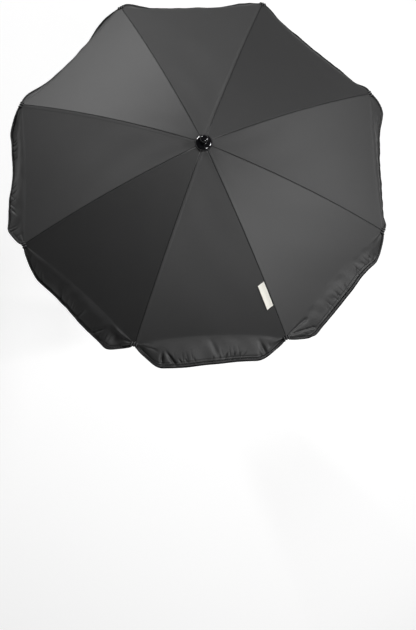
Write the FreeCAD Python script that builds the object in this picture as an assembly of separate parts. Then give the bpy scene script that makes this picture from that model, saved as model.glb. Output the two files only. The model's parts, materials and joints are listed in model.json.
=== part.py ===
import FreeCAD, Part
import math
import os

# Pram parasol: a cloth canopy on a folding rib frame, a shaft with a tilt knuckle, and a tube clamp.
# Millimetres, +Z up the shaft. The origin is the centre of the clamp's bore, whose axis is Y.
# The canopy is open, the knuckle and the clamp's swivel are straight, and the clamp holds its tube.

# Canopy
PANELS = 8
CANOPY_RADIUS = 350.0
CANOPY_DROP = 120.0
CANOPY_BULGE = 20.0
APEX_RISE = 7.5
CLOTH_THICKNESS = 0.5
CLOTH_GAP = 0.1
CLOTH_HOLE_RADIUS = 6.0
CLOTH_EDGE_INSET = 4.0
VALANCE_DEPTH = 42.0
VALANCE_ANGLES = (75.0, 68.0, 80.0, 88.0, 60.0, 48.0, 42.0, 43.0)
VALANCE_CORNER_RADIUS = 60.0
VALANCE_NOTCH = 4.0
LABEL_LENGTH = 42.0
LABEL_WIDTH = 13.0
LABEL_THICKNESS = 0.8
LABEL_CLEARANCE = 0.3
LABEL_PLACE_SHARE = 0.765
LABEL_RIB = 6

# Ribs, their tips and the clips that carry the stretchers
RIB_WIDTH = 3.0
RIB_HEIGHT = 2.6
RIB_WALL = 0.5
RIB_CLEARANCE = 0.9
RIB_START_RADIUS = 17.0
RIB_END_INSET = 4.0
PIVOT_RADIUS = 10.0
EYE_RADIUS = 2.2
EYE_THICKNESS = 1.6
EYE_NECK_RADIUS = 1.0
EYE_REACH = 14.0
WIRE_RADIUS = 0.6
WIRE_CLEARANCE = 0.1
TIP_LENGTH = 12.0
TIP_WIDTH = 4.2
TIP_HEIGHT = 3.2
TIP_END_WALL = 4.0
CLIP_RADIUS = 160.0
CLIP_LENGTH = 9.0
CLIP_WIDTH = 6.4
CLIP_GAP = 2.2
CLIP_TOP_INSET = 0.5
CLIP_DROP = 5.0
CLIP_EYE_RADIUS = 2.4
CLIP_PIN_RADIUS = 0.9
SEAT_CLEARANCE = 0.05

# Stretchers
STRETCHER_WIDTH = 3.0
STRETCHER_HEIGHT = 2.6
STRETCHER_WALL = 0.5
STRETCHER_EYE_GAP = 7.0

# Crown and runner
CROWN_RADIUS = 13.0
CROWN_TOP = 4.5
CROWN_BOTTOM = 3.2
CROWN_SLEEVE_RADIUS = 7.2
CROWN_SLEEVE_LENGTH = 13.0
SLOT_WIDTH = 2.4
SLOT_TOP = 3.0
SLOT_CLEARANCE = 0.4
RUNNER_RADIUS = 13.0
RUNNER_FLANGE_HALF = 3.2
RUNNER_SLEEVE_RADIUS = 7.3
RUNNER_SLEEVE_LENGTH = 38.0
RUNNER_CLEARANCE = 0.06
GRIP_RADIUS = 11.0
GRIP_LENGTH = 9.0
GRIP_FILLET = 1.5
FLUTE_WIDTH = 3.6

# Finial
FINIAL_RADIUS = 15.2
FINIAL_RIM = 2.6
FINIAL_NECK_RADIUS = 9.4
FINIAL_NECK_HEIGHT = 6.6
FINIAL_GAP = 0.3
FINIAL_TIP_RADIUS = 7.2
FINIAL_TIP_HEIGHT = 17.0
FINIAL_TIP_FILLET = 3.8
FINIAL_DIMPLE_RADIUS = 2.6
FINIAL_DIMPLE_DEPTH = 0.8
FINIAL_SPIGOT = 9.0

# Shaft tubes and the runner's catch
SHAFT_RADIUS = 5.0
SHAFT_BORE_RADIUS = 4.2
KNUCKLE_Z = 340.0
CROWN_ABOVE_KNUCKLE = 450.0
FOOT_CAP_HEIGHT = 2.5
FOOT_SPIGOT_LENGTH = 9.0
CATCH_LENGTH = 30.0
CATCH_WIDTH = 3.0
CATCH_METAL = 0.8
CATCH_NOSE = 2.2
CATCH_SHELF = 1.2
CATCH_GAP = 0.3
CATCH_SLOT_MARGIN = 0.4
CATCH_RECESS = 1.6

# Tilt knuckle
KNUCKLE_RADIUS = 11.5
KNUCKLE_EAR_RADIUS = 11.0
KNUCKLE_REACH = 13.0
KNUCKLE_COLLAR_RADIUS = 8.0
KNUCKLE_COLLAR_LENGTH = 24.0
KNUCKLE_STEP = 2.0
TONGUE_THICKNESS = 8.0
CHEEK_CLEARANCE = 0.3
BOLT_RADIUS = 3.0
BOLT_CLEARANCE = 0.08
BOLT_HEAD_RADIUS = 5.4
BOLT_HEAD_HEIGHT = 2.6
BOLT_HEAD_FILLET = 1.0
KNOB_RADIUS = 12.0
KNOB_HEIGHT = 10.0
KNOB_LOBES = 6
KNOB_FLUTE_RADIUS = 4.0
KNOB_FLUTE_DEPTH = 2.2
KNOB_FILLET = 1.2
KNOB_GAP = 0.3
KNOB_END_WALL = 2.5

# Tube clamp
TUBE_RADIUS = 11.0
CLAMP_WIDTH = 30.0
PAD_THICKNESS = 2.5
PAD_MARGIN_ANGLE = 10.0
CLAMP_FRONT = 21.0
CLAMP_BACK = 27.0
CLAMP_INNER_BACK = 16.0
CLAMP_TOP_WALL = 7.0
CLAMP_MOUTH = 55.0
CLAMP_ARM = 12.0
CLAMP_CORNER_RADIUS = 5.0
CLAMP_EDGE_FILLET = 1.2
JAW_FRONT = 18.0
JAW_GAP = 1.6
JAW_HEIGHT = 34.0
JAW_BORE_DEPTH = 20.5
JAW_CLEARANCE = 0.3
KEY_WIDTH = 7.0
KEY_DEPTH = 2.4
SCREW_RADIUS = 4.0
SCREW_ENGAGEMENT = 4.2
SCREW_FLANGE_RADIUS = 6.5
SCREW_FLANGE_HEIGHT = 2.5
SCREW_CLEARANCE = 0.08
CLAMP_KNOB_RADIUS = 17.0
CLAMP_KNOB_HEIGHT = 15.0
CLAMP_KNOB_FLUTE_RADIUS = 7.0
CLAMP_KNOB_FLUTE_DEPTH = 3.6
CLAMP_KNOB_FILLET = 2.0
CLAMP_KNOB_LOBES = 5

# Swivel, shaft socket and its lock
EAR_RADIUS = 11.0
EAR_CLEARANCE = 2.0
EAR_THICKNESS = 10.0
EAR_SEAT = 3.5
SOCKET_RADIUS = 11.0
SOCKET_REACH = 14.0
SOCKET_LENGTH = 72.0
SOCKET_FLOOR = 8.0
BUSH_RADIUS = 7.5
BUSH_CLEARANCE = 0.06
BUSH_FLANGE = 2.5
BUSH_SLIT = 1.2
BUSH_SLIT_SHARE = 0.8
LOCK_DROP = 18.0
LOCK_BOSS_RADIUS = 6.5
LOCK_BOSS_REACH = 18.0
LOCK_SCREW_RADIUS = 3.0
LOCK_PAD_RADIUS = 2.6
LOCK_PAD_LENGTH = 5.5
LOCK_PAD_WALL = 1.75
LOCK_TIP_RADIUS = 1.6
LOCK_TRAVEL = 2.0
LOCK_PLAY = 0.2
LOCK_KNOB_GAP = 0.6
LOCK_KNOB_RADIUS = 9.5
LOCK_KNOB_HEIGHT = 9.0

# One overrun serves every cut
OVERRUN = 1.0

# Places worked out from the sizes above
HALF_PANEL = math.pi / PANELS
PANEL_ANGLE = 360.0 / PANELS
CROWN_Z = KNUCKLE_Z + CROWN_ABOVE_KNUCKLE
APEX_Z = CROWN_Z + APEX_RISE
CHORD = math.hypot(CANOPY_RADIUS, CANOPY_DROP)
ARC_RADIUS = (CHORD ** 2 / 4 + CANOPY_BULGE ** 2) / (2 * CANOPY_BULGE)
ARC_SETBACK = (ARC_RADIUS - CANOPY_BULGE) / CHORD
ARC_X = CANOPY_RADIUS / 2 - CANOPY_DROP * ARC_SETBACK
ARC_Z = APEX_Z - CANOPY_DROP / 2 - CANOPY_RADIUS * ARC_SETBACK
RIB_DEPTH = CLOTH_THICKNESS + RIB_CLEARANCE
RIB_MIDDLE = RIB_DEPTH + RIB_HEIGHT / 2
SLOT_RADIUS = PIVOT_RADIUS - EYE_RADIUS - SLOT_CLEARANCE
PAD_RADIUS = TUBE_RADIUS + PAD_THICKNESS
CLAMP_TOP = PAD_RADIUS + CLAMP_TOP_WALL
CLAMP_FLOOR = -CLAMP_MOUTH - CLAMP_ARM
CLAMP_KNOB_BASE = CLAMP_FLOOR - KNOB_GAP - CLAMP_KNOB_HEIGHT
SWIVEL_Z = CLAMP_TOP + EAR_RADIUS + EAR_CLEARANCE
SOCKET_BASE_Z = SWIVEL_Z + SOCKET_REACH
SOCKET_TOP_Z = SOCKET_BASE_Z + SOCKET_LENGTH
FOOT_Z = SOCKET_BASE_Z + SOCKET_FLOOR

X_AXIS = FreeCAD.Vector(1, 0, 0)
Y_AXIS = FreeCAD.Vector(0, 1, 0)
Z_AXIS = FreeCAD.Vector(0, 0, 1)
ORIGIN = FreeCAD.Vector(0, 0, 0)


# Small helpers
def point(x=0, y=0, z=0):
    return FreeCAD.Vector(x, y, z)


def rod(radius, start, end):
    """A cylinder between two points."""
    axis = end - start
    return Part.makeCylinder(radius, axis.Length, start, axis)


def tube(outer, inner, start, end):
    """A pipe between two points, bored right through."""
    axis = (end - start).normalize() * OVERRUN
    return rod(outer, start, end).cut(rod(inner, start - axis, end + axis))


def block(low, high):
    """A box between two corners."""
    size = high - low
    return Part.makeBox(size.x, size.y, size.z, low)


def outline(corners):
    """A flat face through these corners."""
    return Part.Face(Part.makePolygon(corners + corners[:1]))


def plate(corners, thickness):
    """A flat outline in the XZ plane, as thick along Y as stated and centred on it."""
    face = outline(corners)
    face.translate(Y_AXIS * (-thickness / 2))
    return face.extrude(Y_AXIS * thickness)


def spun(edges):
    """A solid of revolution about Z from edges that close an outline in the XZ plane."""
    return Part.Face(Part.Wire(edges)).revolve(ORIGIN, Z_AXIS, 360)


def path(corners):
    """Straight edges from corner to corner."""
    return [Part.LineSegment(a, b).toShape() for a, b in zip(corners, corners[1:])]


def arc(start, middle, end):
    """A round edge through three points."""
    return Part.Arc(start, middle, end).toShape()


def around(shape, degrees, axis=Z_AXIS, centre=ORIGIN):
    """A copy of a shape turned about an axis."""
    turned = shape.copy()
    turned.rotate(centre, axis, degrees)
    return turned


def link(start, start_radius, end, end_radius, thickness):
    """A flat bar in the XZ plane with a round end at each of two points."""
    half = Y_AXIS * (thickness / 2)
    along = (end - start).normalize()
    across = Y_AXIS.cross(along)
    corners = [
        start + across * start_radius,
        end + across * end_radius,
        end - across * end_radius,
        start - across * start_radius,
    ]
    bar = plate(corners, thickness)
    bar = bar.fuse(rod(start_radius, start - half, start + half))
    return bar.fuse(rod(end_radius, end - half, end + half)).removeSplitter()


def filleted(shape, radius, chosen):
    """The shape with the chosen edges rounded."""
    edges = [edge for edge in shape.Edges if chosen(edge)]
    return shape.makeFillet(radius, edges)


def lobed_knob(radius, height, lobes, flute_radius, flute_depth, fillet):
    """A hand knob on Z, from zero up, with round flutes between its lobes."""
    knob = rod(radius, ORIGIN, Z_AXIS * height)
    reach = radius + flute_radius - flute_depth
    for n in range(lobes):
        turn = 2 * math.pi * n / lobes
        middle = point(reach * math.cos(turn), reach * math.sin(turn), -OVERRUN)
        knob = knob.cut(rod(flute_radius, middle, middle + Z_AXIS * (height + 2 * OVERRUN)))
    flat_ends = (0, height)
    return filleted(knob, fillet, lambda e: on_level(e, flat_ends))


def on_level(edge, levels):
    """True if an edge lies flat at one of these heights."""
    box = edge.BoundBox
    flat = box.ZLength < SEAT_CLEARANCE
    return flat and any(abs(box.ZMin - level) < SEAT_CLEARANCE for level in levels)


# Canopy curve, in the plane of a rib
def on_canopy(radius, depth):
    """The point at this distance from the shaft, this deep under the canopy's outer face."""
    rise = math.sqrt((ARC_RADIUS - depth) ** 2 - (radius - ARC_X) ** 2)
    return point(radius, 0, ARC_Z + rise)


def outward(radius, depth):
    """The canopy's outward normal at such a point."""
    return (on_canopy(radius, depth) - point(ARC_X, 0, ARC_Z)).normalize()


def downhill(radius, depth):
    """The direction down a rib at such a point."""
    return Y_AXIS.cross(outward(radius, depth))


PIVOT = point(PIVOT_RADIUS, 0, CROWN_Z)
CLIP_PIN = on_canopy(CLIP_RADIUS, RIB_MIDDLE + CLIP_DROP)
RUNNER_Z = 2 * CLIP_PIN.z - CROWN_Z
RUNNER_PIVOT = point(PIVOT_RADIUS, 0, RUNNER_Z)


# Cloth
def panel_section(radius, depth):
    """A point of the canopy's curve, drawn in to the middle plane of a panel."""
    place = on_canopy(radius, depth)
    return point(place.x * math.cos(HALF_PANEL), 0, place.z)


def panel_skin():
    """Half a panel: one curved sheet from the panel's middle plane to the rib's plane."""
    inner = CLOTH_HOLE_RADIUS / 2
    edge = CANOPY_RADIUS - CLOTH_EDGE_INSET
    middle = (inner + edge) / 2
    top = [panel_section(r, 0) for r in (inner, middle, edge)]
    under = [panel_section(r, CLOTH_THICKNESS) for r in (edge, middle, inner)]
    edges = [arc(*top), path([top[2], under[0]])[0], arc(*under), path([under[2], top[0]])[0]]
    sheet = Part.Face(Part.Wire(edges)).extrude(Y_AXIS * -CANOPY_RADIUS)
    far = CANOPY_RADIUS
    sector = outline([
        point(CLOTH_GAP / math.tan(HALF_PANEL), -CLOTH_GAP, 0),
        point(far, -CLOTH_GAP, 0),
        point(far, -far * math.tan(HALF_PANEL), 0),
    ])
    sector.translate(Z_AXIS * (APEX_Z - 2 * CANOPY_DROP))
    sheet = sheet.common(sector.extrude(Z_AXIS * (3 * CANOPY_DROP)))
    low = point(0, 0, APEX_Z - CANOPY_DROP)
    return sheet.cut(rod(CLOTH_HOLE_RADIUS, low, low + Z_AXIS * (2 * CANOPY_DROP)))


def rounded_corner(start, corner, end, radius):
    """The edges from start to end past a corner that is rounded off."""
    back = (start - corner).normalize()
    ahead = (end - corner).normalize()
    half_angle = back.getAngle(ahead) / 2
    run = radius / math.tan(half_angle)
    inward = (back + ahead).normalize()
    middle = corner + inward * (radius / math.sin(half_angle) - radius)
    first, last = corner + back * run, corner + ahead * run
    return path([start, first]) + [arc(first, middle, last)] + path([last, end])


def valance_flap(angle):
    """The loose flap below half a panel, hung at this angle, with a sloping end at the rib."""
    crease = panel_section(CANOPY_RADIUS - CLOTH_EDGE_INSET, 0)
    slope = math.radians(angle)
    down = point(math.cos(slope), 0, -math.sin(slope))
    inside = point(-math.sin(slope), 0, -math.cos(slope))
    rib_side = Y_AXIS * -((CANOPY_RADIUS - CLOTH_EDGE_INSET) * math.sin(HALF_PANEL) - VALANCE_NOTCH)
    middle = Y_AXIS * -CLOTH_GAP
    depth = down * VALANCE_DEPTH
    slant = rib_side + Y_AXIS * VALANCE_DEPTH + depth
    hem = rounded_corner(crease + rib_side, crease + slant, crease + middle + depth, VALANCE_CORNER_RADIUS)
    ends = path([crease + middle + depth, crease + middle, crease + rib_side])
    return Part.Face(Part.Wire(hem + ends)).extrude(inside * CLOTH_THICKNESS)


def canopy_cloth(n):
    """The cloth that rib n carries: half a panel and half a valance on each side of its seam."""
    skin = panel_skin()
    after, before = [
        around(skin.fuse(valance_flap(VALANCE_ANGLES[k % PANELS])), math.degrees(HALF_PANEL))
        for k in (n + 1, n)
    ]
    return after.fuse(before.mirror(ORIGIN, Y_AXIS)).removeSplitter()


def sewn_label():
    """A folded woven tab that lies on the panel beside a seam."""
    reach = CANOPY_RADIUS * LABEL_PLACE_SHARE
    half = around(panel_label(reach), math.degrees(HALF_PANEL))
    return half.mirror(ORIGIN, Y_AXIS)


def panel_label(reach):
    """The tab on half a panel, with its long edge at the seam and its ends square to it."""
    ends = [reach - LABEL_LENGTH / 2, reach + LABEL_LENGTH / 2]
    low, high = [panel_section(r, 0) - Y_AXIS * (r * math.sin(HALF_PANEL)) for r in ends]
    lowest = panel_section(ends[1] + LABEL_WIDTH, 0)
    fall = (lowest - panel_section(ends[0], 0)).normalize()
    up = fall.cross(Y_AXIS)
    width = up.cross(high - low).normalize() * LABEL_WIDTH
    length = width.cross(up).normalize() * LABEL_LENGTH
    middle = panel_section(reach + LABEL_WIDTH / 2, 0)
    start = low + up * ((middle - low).dot(up) + LABEL_CLEARANCE)
    corners = [start, start + length, start + length + width, start + width]
    return outline(corners).extrude(up * LABEL_THICKNESS)


# Folding frame
def channel_corners(width, height, wall):
    """The corners of a channel section, open below, as pairs of width and depth."""
    side, inner = width / 2, width / 2 - wall
    return [
        (-side, 0), (side, 0), (side, height), (inner, height),
        (inner, wall), (-inner, wall), (-inner, height), (-side, height),
    ]


def curved_bar(corners, depth, start_radius, end_radius):
    """A section swept along the canopy's curve at this depth, between two distances from the shaft."""
    normal = outward(start_radius, depth)
    centre = point(ARC_X, 0, ARC_Z)
    face = outline([centre + normal * (ARC_RADIUS - depth - d) + Y_AXIS * w for w, d in corners])
    turn = normal.getAngle(outward(end_radius, depth))
    return face.revolve(centre, Y_AXIS, math.degrees(turn))


def rib():
    """A steel channel with a flattened eye at the crown."""
    section = channel_corners(RIB_WIDTH, RIB_HEIGHT, RIB_WALL)
    bar = curved_bar(section, RIB_DEPTH, RIB_START_RADIUS, CANOPY_RADIUS - RIB_END_INSET)
    root = on_canopy(PIVOT_RADIUS + EYE_REACH, RIB_MIDDLE)
    eye = link(PIVOT, EYE_RADIUS, root, EYE_NECK_RADIUS, EYE_THICKNESS)
    return bored_eye(bar.fuse(eye), PIVOT, WIRE_RADIUS + WIRE_CLEARANCE)


def bored_eye(shape, centre, radius):
    """The shape with a hole along Y through an eye."""
    half = Y_AXIS * (EYE_THICKNESS / 2 + OVERRUN)
    return shape.cut(rod(radius, centre - half, centre + half))


def rib_fittings():
    """The tip cap that the cloth's corner is sewn to, and the clip that carries the stretcher."""
    return Part.makeCompound([rib_tip(), stretcher_clip()])


def rib_tip():
    """A flat cap over the rib's end."""
    side = TIP_WIDTH / 2
    lift = (TIP_HEIGHT - RIB_HEIGHT) / 2
    section = [(-side, 0), (side, 0), (side, TIP_HEIGHT), (-side, TIP_HEIGHT)]
    depth = RIB_DEPTH - lift
    end = CANOPY_RADIUS - RIB_END_INSET + TIP_END_WALL
    cap = curved_bar(section, depth, end - TIP_LENGTH, end)
    cap = filleted(cap, side / 2, lambda e: e.Length < TIP_HEIGHT + lift and e.CenterOfMass.x > end - side)
    pocket = [
        (-RIB_WIDTH / 2 - SEAT_CLEARANCE, 0), (RIB_WIDTH / 2 + SEAT_CLEARANCE, 0),
        (RIB_WIDTH / 2 + SEAT_CLEARANCE, RIB_HEIGHT + 2 * SEAT_CLEARANCE),
        (-RIB_WIDTH / 2 - SEAT_CLEARANCE, RIB_HEIGHT + 2 * SEAT_CLEARANCE),
    ]
    rib_end = CANOPY_RADIUS - RIB_END_INSET + SEAT_CLEARANCE
    return cap.cut(curved_bar(pocket, RIB_DEPTH - SEAT_CLEARANCE, end - TIP_LENGTH - OVERRUN, rib_end))


def stretcher_clip():
    """A saddle on the rib, with two lugs and a pin below it."""
    normal = outward(CLIP_RADIUS, RIB_MIDDLE + CLIP_DROP)
    along = downhill(CLIP_RADIUS, RIB_MIDDLE + CLIP_DROP) * (CLIP_LENGTH / 2)
    top = CLIP_PIN + normal * (CLIP_DROP + RIB_HEIGHT / 2 - CLIP_TOP_INSET)
    waist = downhill(CLIP_RADIUS, RIB_MIDDLE + CLIP_DROP) * CLIP_EYE_RADIUS
    saddle = plate([top - along, top + along, CLIP_PIN + waist, CLIP_PIN - waist], CLIP_WIDTH)
    half = Y_AXIS * (CLIP_WIDTH / 2)
    saddle = saddle.fuse(rod(CLIP_EYE_RADIUS, CLIP_PIN - half, CLIP_PIN + half))
    rib_room = RIB_WIDTH / 2 + SEAT_CLEARANCE
    section = [(-rib_room, 0), (rib_room, 0)]
    section += [(w, RIB_HEIGHT + SEAT_CLEARANCE) for w in (rib_room, -rib_room)]
    start, end = CLIP_RADIUS - CLIP_LENGTH, CLIP_RADIUS + CLIP_LENGTH
    saddle = saddle.cut(curved_bar(section, RIB_DEPTH, start, end))
    lug = CLIP_GAP / 2
    section = [(-lug, 0), (lug, 0), (lug, 2 * CLIP_DROP), (-lug, 2 * CLIP_DROP)]
    saddle = saddle.cut(curved_bar(section, RIB_DEPTH + RIB_HEIGHT, start, end))
    return saddle.fuse(rod(CLIP_PIN_RADIUS, CLIP_PIN - half, CLIP_PIN + half)).removeSplitter()


def stretcher():
    """A straight channel, open above, with an eye at the clip and one at the runner."""
    span = CLIP_PIN - RUNNER_PIVOT
    length = span.Length - 2 * STRETCHER_EYE_GAP
    along = span.normalize()
    below = Y_AXIS.cross(along)
    start = RUNNER_PIVOT + along * STRETCHER_EYE_GAP + below * (STRETCHER_HEIGHT / 2)
    corners = channel_corners(STRETCHER_WIDTH, STRETCHER_HEIGHT, STRETCHER_WALL)
    bar = outline([start + Y_AXIS * w - below * d for w, d in corners]).extrude(along * length)
    for eye, inward in ((RUNNER_PIVOT, along), (CLIP_PIN, along * -1)):
        bar = bar.fuse(link(eye, EYE_RADIUS, eye + inward * EYE_REACH, EYE_NECK_RADIUS, EYE_THICKNESS))
    bar = bored_eye(bar, RUNNER_PIVOT, WIRE_RADIUS + WIRE_CLEARANCE)
    return bored_eye(bar, CLIP_PIN, CLIP_PIN_RADIUS + WIRE_CLEARANCE)


def hinge_wire(level):
    """A closed ring of wire that threads the eyes."""
    return Part.makeTorus(PIVOT_RADIUS, WIRE_RADIUS, Z_AXIS * level)


def radial_slots(hub, width, inner, outer, low, high):
    """The hub with a slot at each rib, from an inner to an outer radius."""
    for n in range(PANELS):
        slot = block(point(inner, -width / 2, low), point(outer, width / 2, high))
        hub = hub.cut(around(slot, rib_angle(n)))
    return hub


def wire_groove(hub, level, outer):
    """The hub with a groove that the hinge wire is laid into from outside."""
    half = Z_AXIS * (WIRE_RADIUS + WIRE_CLEARANCE)
    inner = PIVOT_RADIUS - WIRE_RADIUS - WIRE_CLEARANCE
    middle = Z_AXIS * level
    return hub.cut(tube(outer + OVERRUN, inner, middle - half, middle + half))


def rib_angle(n):
    """A rib's direction round the shaft, in degrees, so that a panel faces each main axis."""
    return (n + 1 / 2) * PANEL_ANGLE


def crown():
    """The hub at the shaft's top, with a slot for each rib and a groove for their wire."""
    low = Z_AXIS * (CROWN_Z - CROWN_BOTTOM)
    hub = rod(CROWN_RADIUS, low, Z_AXIS * (CROWN_Z + CROWN_TOP))
    hub = hub.fuse(rod(CROWN_SLEEVE_RADIUS, low - Z_AXIS * CROWN_SLEEVE_LENGTH, low))
    bottom = low - Z_AXIS * (CROWN_SLEEVE_LENGTH + OVERRUN)
    hub = hub.cut(rod(SHAFT_RADIUS + SEAT_CLEARANCE, bottom, Z_AXIS * (CROWN_Z + CROWN_TOP + OVERRUN)))
    floor = CROWN_Z - CROWN_BOTTOM - OVERRUN
    hub = radial_slots(hub, SLOT_WIDTH, SLOT_RADIUS, CROWN_RADIUS + OVERRUN, floor, CROWN_Z + SLOT_TOP)
    return wire_groove(hub, CROWN_Z, CROWN_RADIUS)


def runner():
    """The sliding hub that the stretchers hang from, with a fluted grip."""
    top = Z_AXIS * (RUNNER_Z + RUNNER_FLANGE_HALF)
    waist = Z_AXIS * (RUNNER_Z - RUNNER_FLANGE_HALF)
    bottom = Z_AXIS * (RUNNER_Z - RUNNER_SLEEVE_LENGTH)
    hub = rod(RUNNER_RADIUS, waist, top).fuse(rod(RUNNER_SLEEVE_RADIUS, bottom, top))
    grip = rod(GRIP_RADIUS, bottom, bottom + Z_AXIS * GRIP_LENGTH)
    hub = hub.fuse(filleted(grip, GRIP_FILLET, lambda e: on_level(e, (bottom.z, bottom.z + GRIP_LENGTH))))
    hub = hub.cut(rod(SHAFT_RADIUS + RUNNER_CLEARANCE, bottom - Z_AXIS * OVERRUN, top + Z_AXIS * OVERRUN))
    low, high = waist.z - OVERRUN, top.z + OVERRUN
    hub = radial_slots(hub, SLOT_WIDTH, SLOT_RADIUS, RUNNER_RADIUS + OVERRUN, low, high)
    low, high = bottom.z - OVERRUN, bottom.z + GRIP_LENGTH + OVERRUN
    hub = radial_slots(hub, FLUTE_WIDTH, RUNNER_SLEEVE_RADIUS, GRIP_RADIUS + OVERRUN, low, high)
    return wire_groove(hub, RUNNER_Z, RUNNER_RADIUS)


# Finial
def finial_underside(radius):
    """How high the finial's collar sits above the cloth at this radius."""
    return on_canopy(radius, 0).z + FINIAL_GAP


def finial_collar():
    """The collar that holds the cloth down on the crown."""
    bore = SHAFT_RADIUS + SEAT_CLEARANCE
    rim_low = point(FINIAL_RADIUS, 0, finial_underside(FINIAL_RADIUS))
    rim_high = rim_low + Z_AXIS * FINIAL_RIM
    neck = point(FINIAL_NECK_RADIUS, 0, rim_low.z + FINIAL_NECK_HEIGHT)
    bulge = (rim_high + neck) * (1 / 2) + (Z_AXIS + X_AXIS).normalize() * (FINIAL_RIM / 2)
    inner = [neck, point(bore, 0, neck.z), point(bore, 0, finial_underside(bore)), rim_low, rim_high]
    return spun([arc(rim_high, bulge, neck)] + path(inner))


def finial_tip():
    """The screw cap on the shaft's end, with a dimple in its top."""
    base = Z_AXIS * (finial_underside(FINIAL_RADIUS) + FINIAL_NECK_HEIGHT)
    top = base + Z_AXIS * FINIAL_TIP_HEIGHT
    cap = filleted(rod(FINIAL_TIP_RADIUS, base, top), FINIAL_TIP_FILLET, lambda e: on_level(e, (top.z,)))
    cap = cap.cut(rod(FINIAL_DIMPLE_RADIUS, top - Z_AXIS * FINIAL_DIMPLE_DEPTH, top + Z_AXIS * OVERRUN))
    spigot = Z_AXIS * (FINIAL_SPIGOT + SEAT_CLEARANCE)
    return cap.cut(rod(SHAFT_RADIUS + SEAT_CLEARANCE, base - Z_AXIS * OVERRUN, base + spigot))


# Shaft
def upper_shaft():
    """The tube from the knuckle to the finial, with a window for the runner's catch."""
    low = Z_AXIS * (KNUCKLE_Z + KNUCKLE_REACH + KNUCKLE_STEP)
    high = Z_AXIS * (finial_underside(FINIAL_RADIUS) + FINIAL_NECK_HEIGHT + FINIAL_SPIGOT)
    pipe = tube(SHAFT_RADIUS, SHAFT_BORE_RADIUS, low, high)
    half = CATCH_WIDTH / 2 + CATCH_SLOT_MARGIN
    top = catch_top() + CATCH_SLOT_MARGIN
    foot = top - CATCH_LENGTH + CATCH_SLOT_MARGIN
    window = block(point(0, -half, foot), point(2 * SHAFT_RADIUS, half, top))
    return pipe.cut(window)


def catch_top():
    """The height of the shelf that the open runner rests on."""
    return RUNNER_Z - RUNNER_SLEEVE_LENGTH - CATCH_GAP


def catch_spring():
    """A bent leaf inside the tube, rolled at its foot, whose nose stands out under the runner."""
    top = catch_top()
    root = SHAFT_BORE_RADIUS - CATCH_SLOT_MARGIN
    nose = SHAFT_RADIUS + CATCH_NOSE
    foot = top - CATCH_LENGTH
    corners = [
        point(root - CATCH_METAL, 0, foot - CATCH_RECESS),
        point(root, 0, foot - CATCH_RECESS),
        point(root, 0, foot + CATCH_SHELF),
        point(nose, 0, top - CATCH_SHELF),
        point(nose, 0, top),
        point(root - CATCH_METAL, 0, top),
        point(root - CATCH_METAL, 0, top - CATCH_SHELF),
        point(nose - CATCH_METAL, 0, top - CATCH_SHELF),
        point(root - CATCH_METAL, 0, foot + CATCH_SHELF),
    ]
    roll = point(root - CATCH_METAL, 0, foot)
    half = Y_AXIS * (CATCH_WIDTH / 2)
    return plate(corners, CATCH_WIDTH).fuse(rod(CATCH_METAL, roll - half, roll + half)).removeSplitter()


def lower_shaft():
    """The tube from the socket to the knuckle."""
    low = Z_AXIS * (FOOT_Z + FOOT_CAP_HEIGHT)
    return tube(SHAFT_RADIUS, SHAFT_BORE_RADIUS, low, Z_AXIS * (KNUCKLE_Z - KNUCKLE_REACH - KNUCKLE_STEP))


def foot_cap():
    """The plug in the lower tube's end."""
    low = Z_AXIS * FOOT_Z
    top = low + Z_AXIS * FOOT_CAP_HEIGHT
    return rod(SHAFT_RADIUS, low, top).fuse(
        rod(SHAFT_BORE_RADIUS - SEAT_CLEARANCE, top, top + Z_AXIS * FOOT_SPIGOT_LENGTH))


# Tilt knuckle, made about its pivot and then lifted to its height
def ear(radius, thickness, low):
    """A round-ended plate across X, from its pivot down to a level."""
    half = X_AXIS * (thickness / 2)
    body = rod(radius, half * -1, half)
    return body.fuse(block(point(-half.x, -radius, low), point(half.x, radius, 0)))


def knuckle_collar():
    """The tapered collar that holds a tube, below the pivot."""
    top = -KNUCKLE_REACH
    bottom = top - KNUCKLE_COLLAR_LENGTH
    corners = [
        point(0, 0, top), point(KNUCKLE_RADIUS, 0, top),
        point(KNUCKLE_RADIUS, 0, top - KNUCKLE_STEP), point(KNUCKLE_COLLAR_RADIUS, 0, bottom),
        point(0, 0, bottom), point(0, 0, top),
    ]
    bore = rod(SHAFT_RADIUS + SEAT_CLEARANCE, Z_AXIS * (bottom - OVERRUN), Z_AXIS * (top - KNUCKLE_STEP))
    return spun(path(corners)), bore


def knuckle_fork():
    """The lower half of the knuckle, with two cheeks."""
    collar, bore = knuckle_collar()
    column = rod(KNUCKLE_RADIUS, Z_AXIS * -(KNUCKLE_REACH + KNUCKLE_STEP), Z_AXIS * KNUCKLE_RADIUS)
    cheeks = ear(KNUCKLE_EAR_RADIUS, 2 * KNUCKLE_RADIUS, -KNUCKLE_REACH).common(column)
    room = TONGUE_THICKNESS / 2 + CHEEK_CLEARANCE
    gap = block(point(-room, -KNUCKLE_RADIUS, -KNUCKLE_REACH), point(room, KNUCKLE_RADIUS, KNUCKLE_RADIUS))
    fork = cheeks.cut(gap).fuse(collar).cut(bore)
    return lifted(bolt_hole(fork.removeSplitter()), KNUCKLE_Z)


def knuckle_tongue():
    """The upper half of the knuckle, with one tongue."""
    collar, bore = knuckle_collar()
    column = rod(KNUCKLE_RADIUS, Z_AXIS * -(KNUCKLE_REACH + KNUCKLE_STEP), Z_AXIS * KNUCKLE_RADIUS)
    tongue = ear(KNUCKLE_EAR_RADIUS, TONGUE_THICKNESS, -KNUCKLE_REACH).common(column)
    tongue = tongue.fuse(collar).cut(bore).removeSplitter()
    return lifted(around(bolt_hole(tongue), 180, X_AXIS), KNUCKLE_Z)


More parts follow.
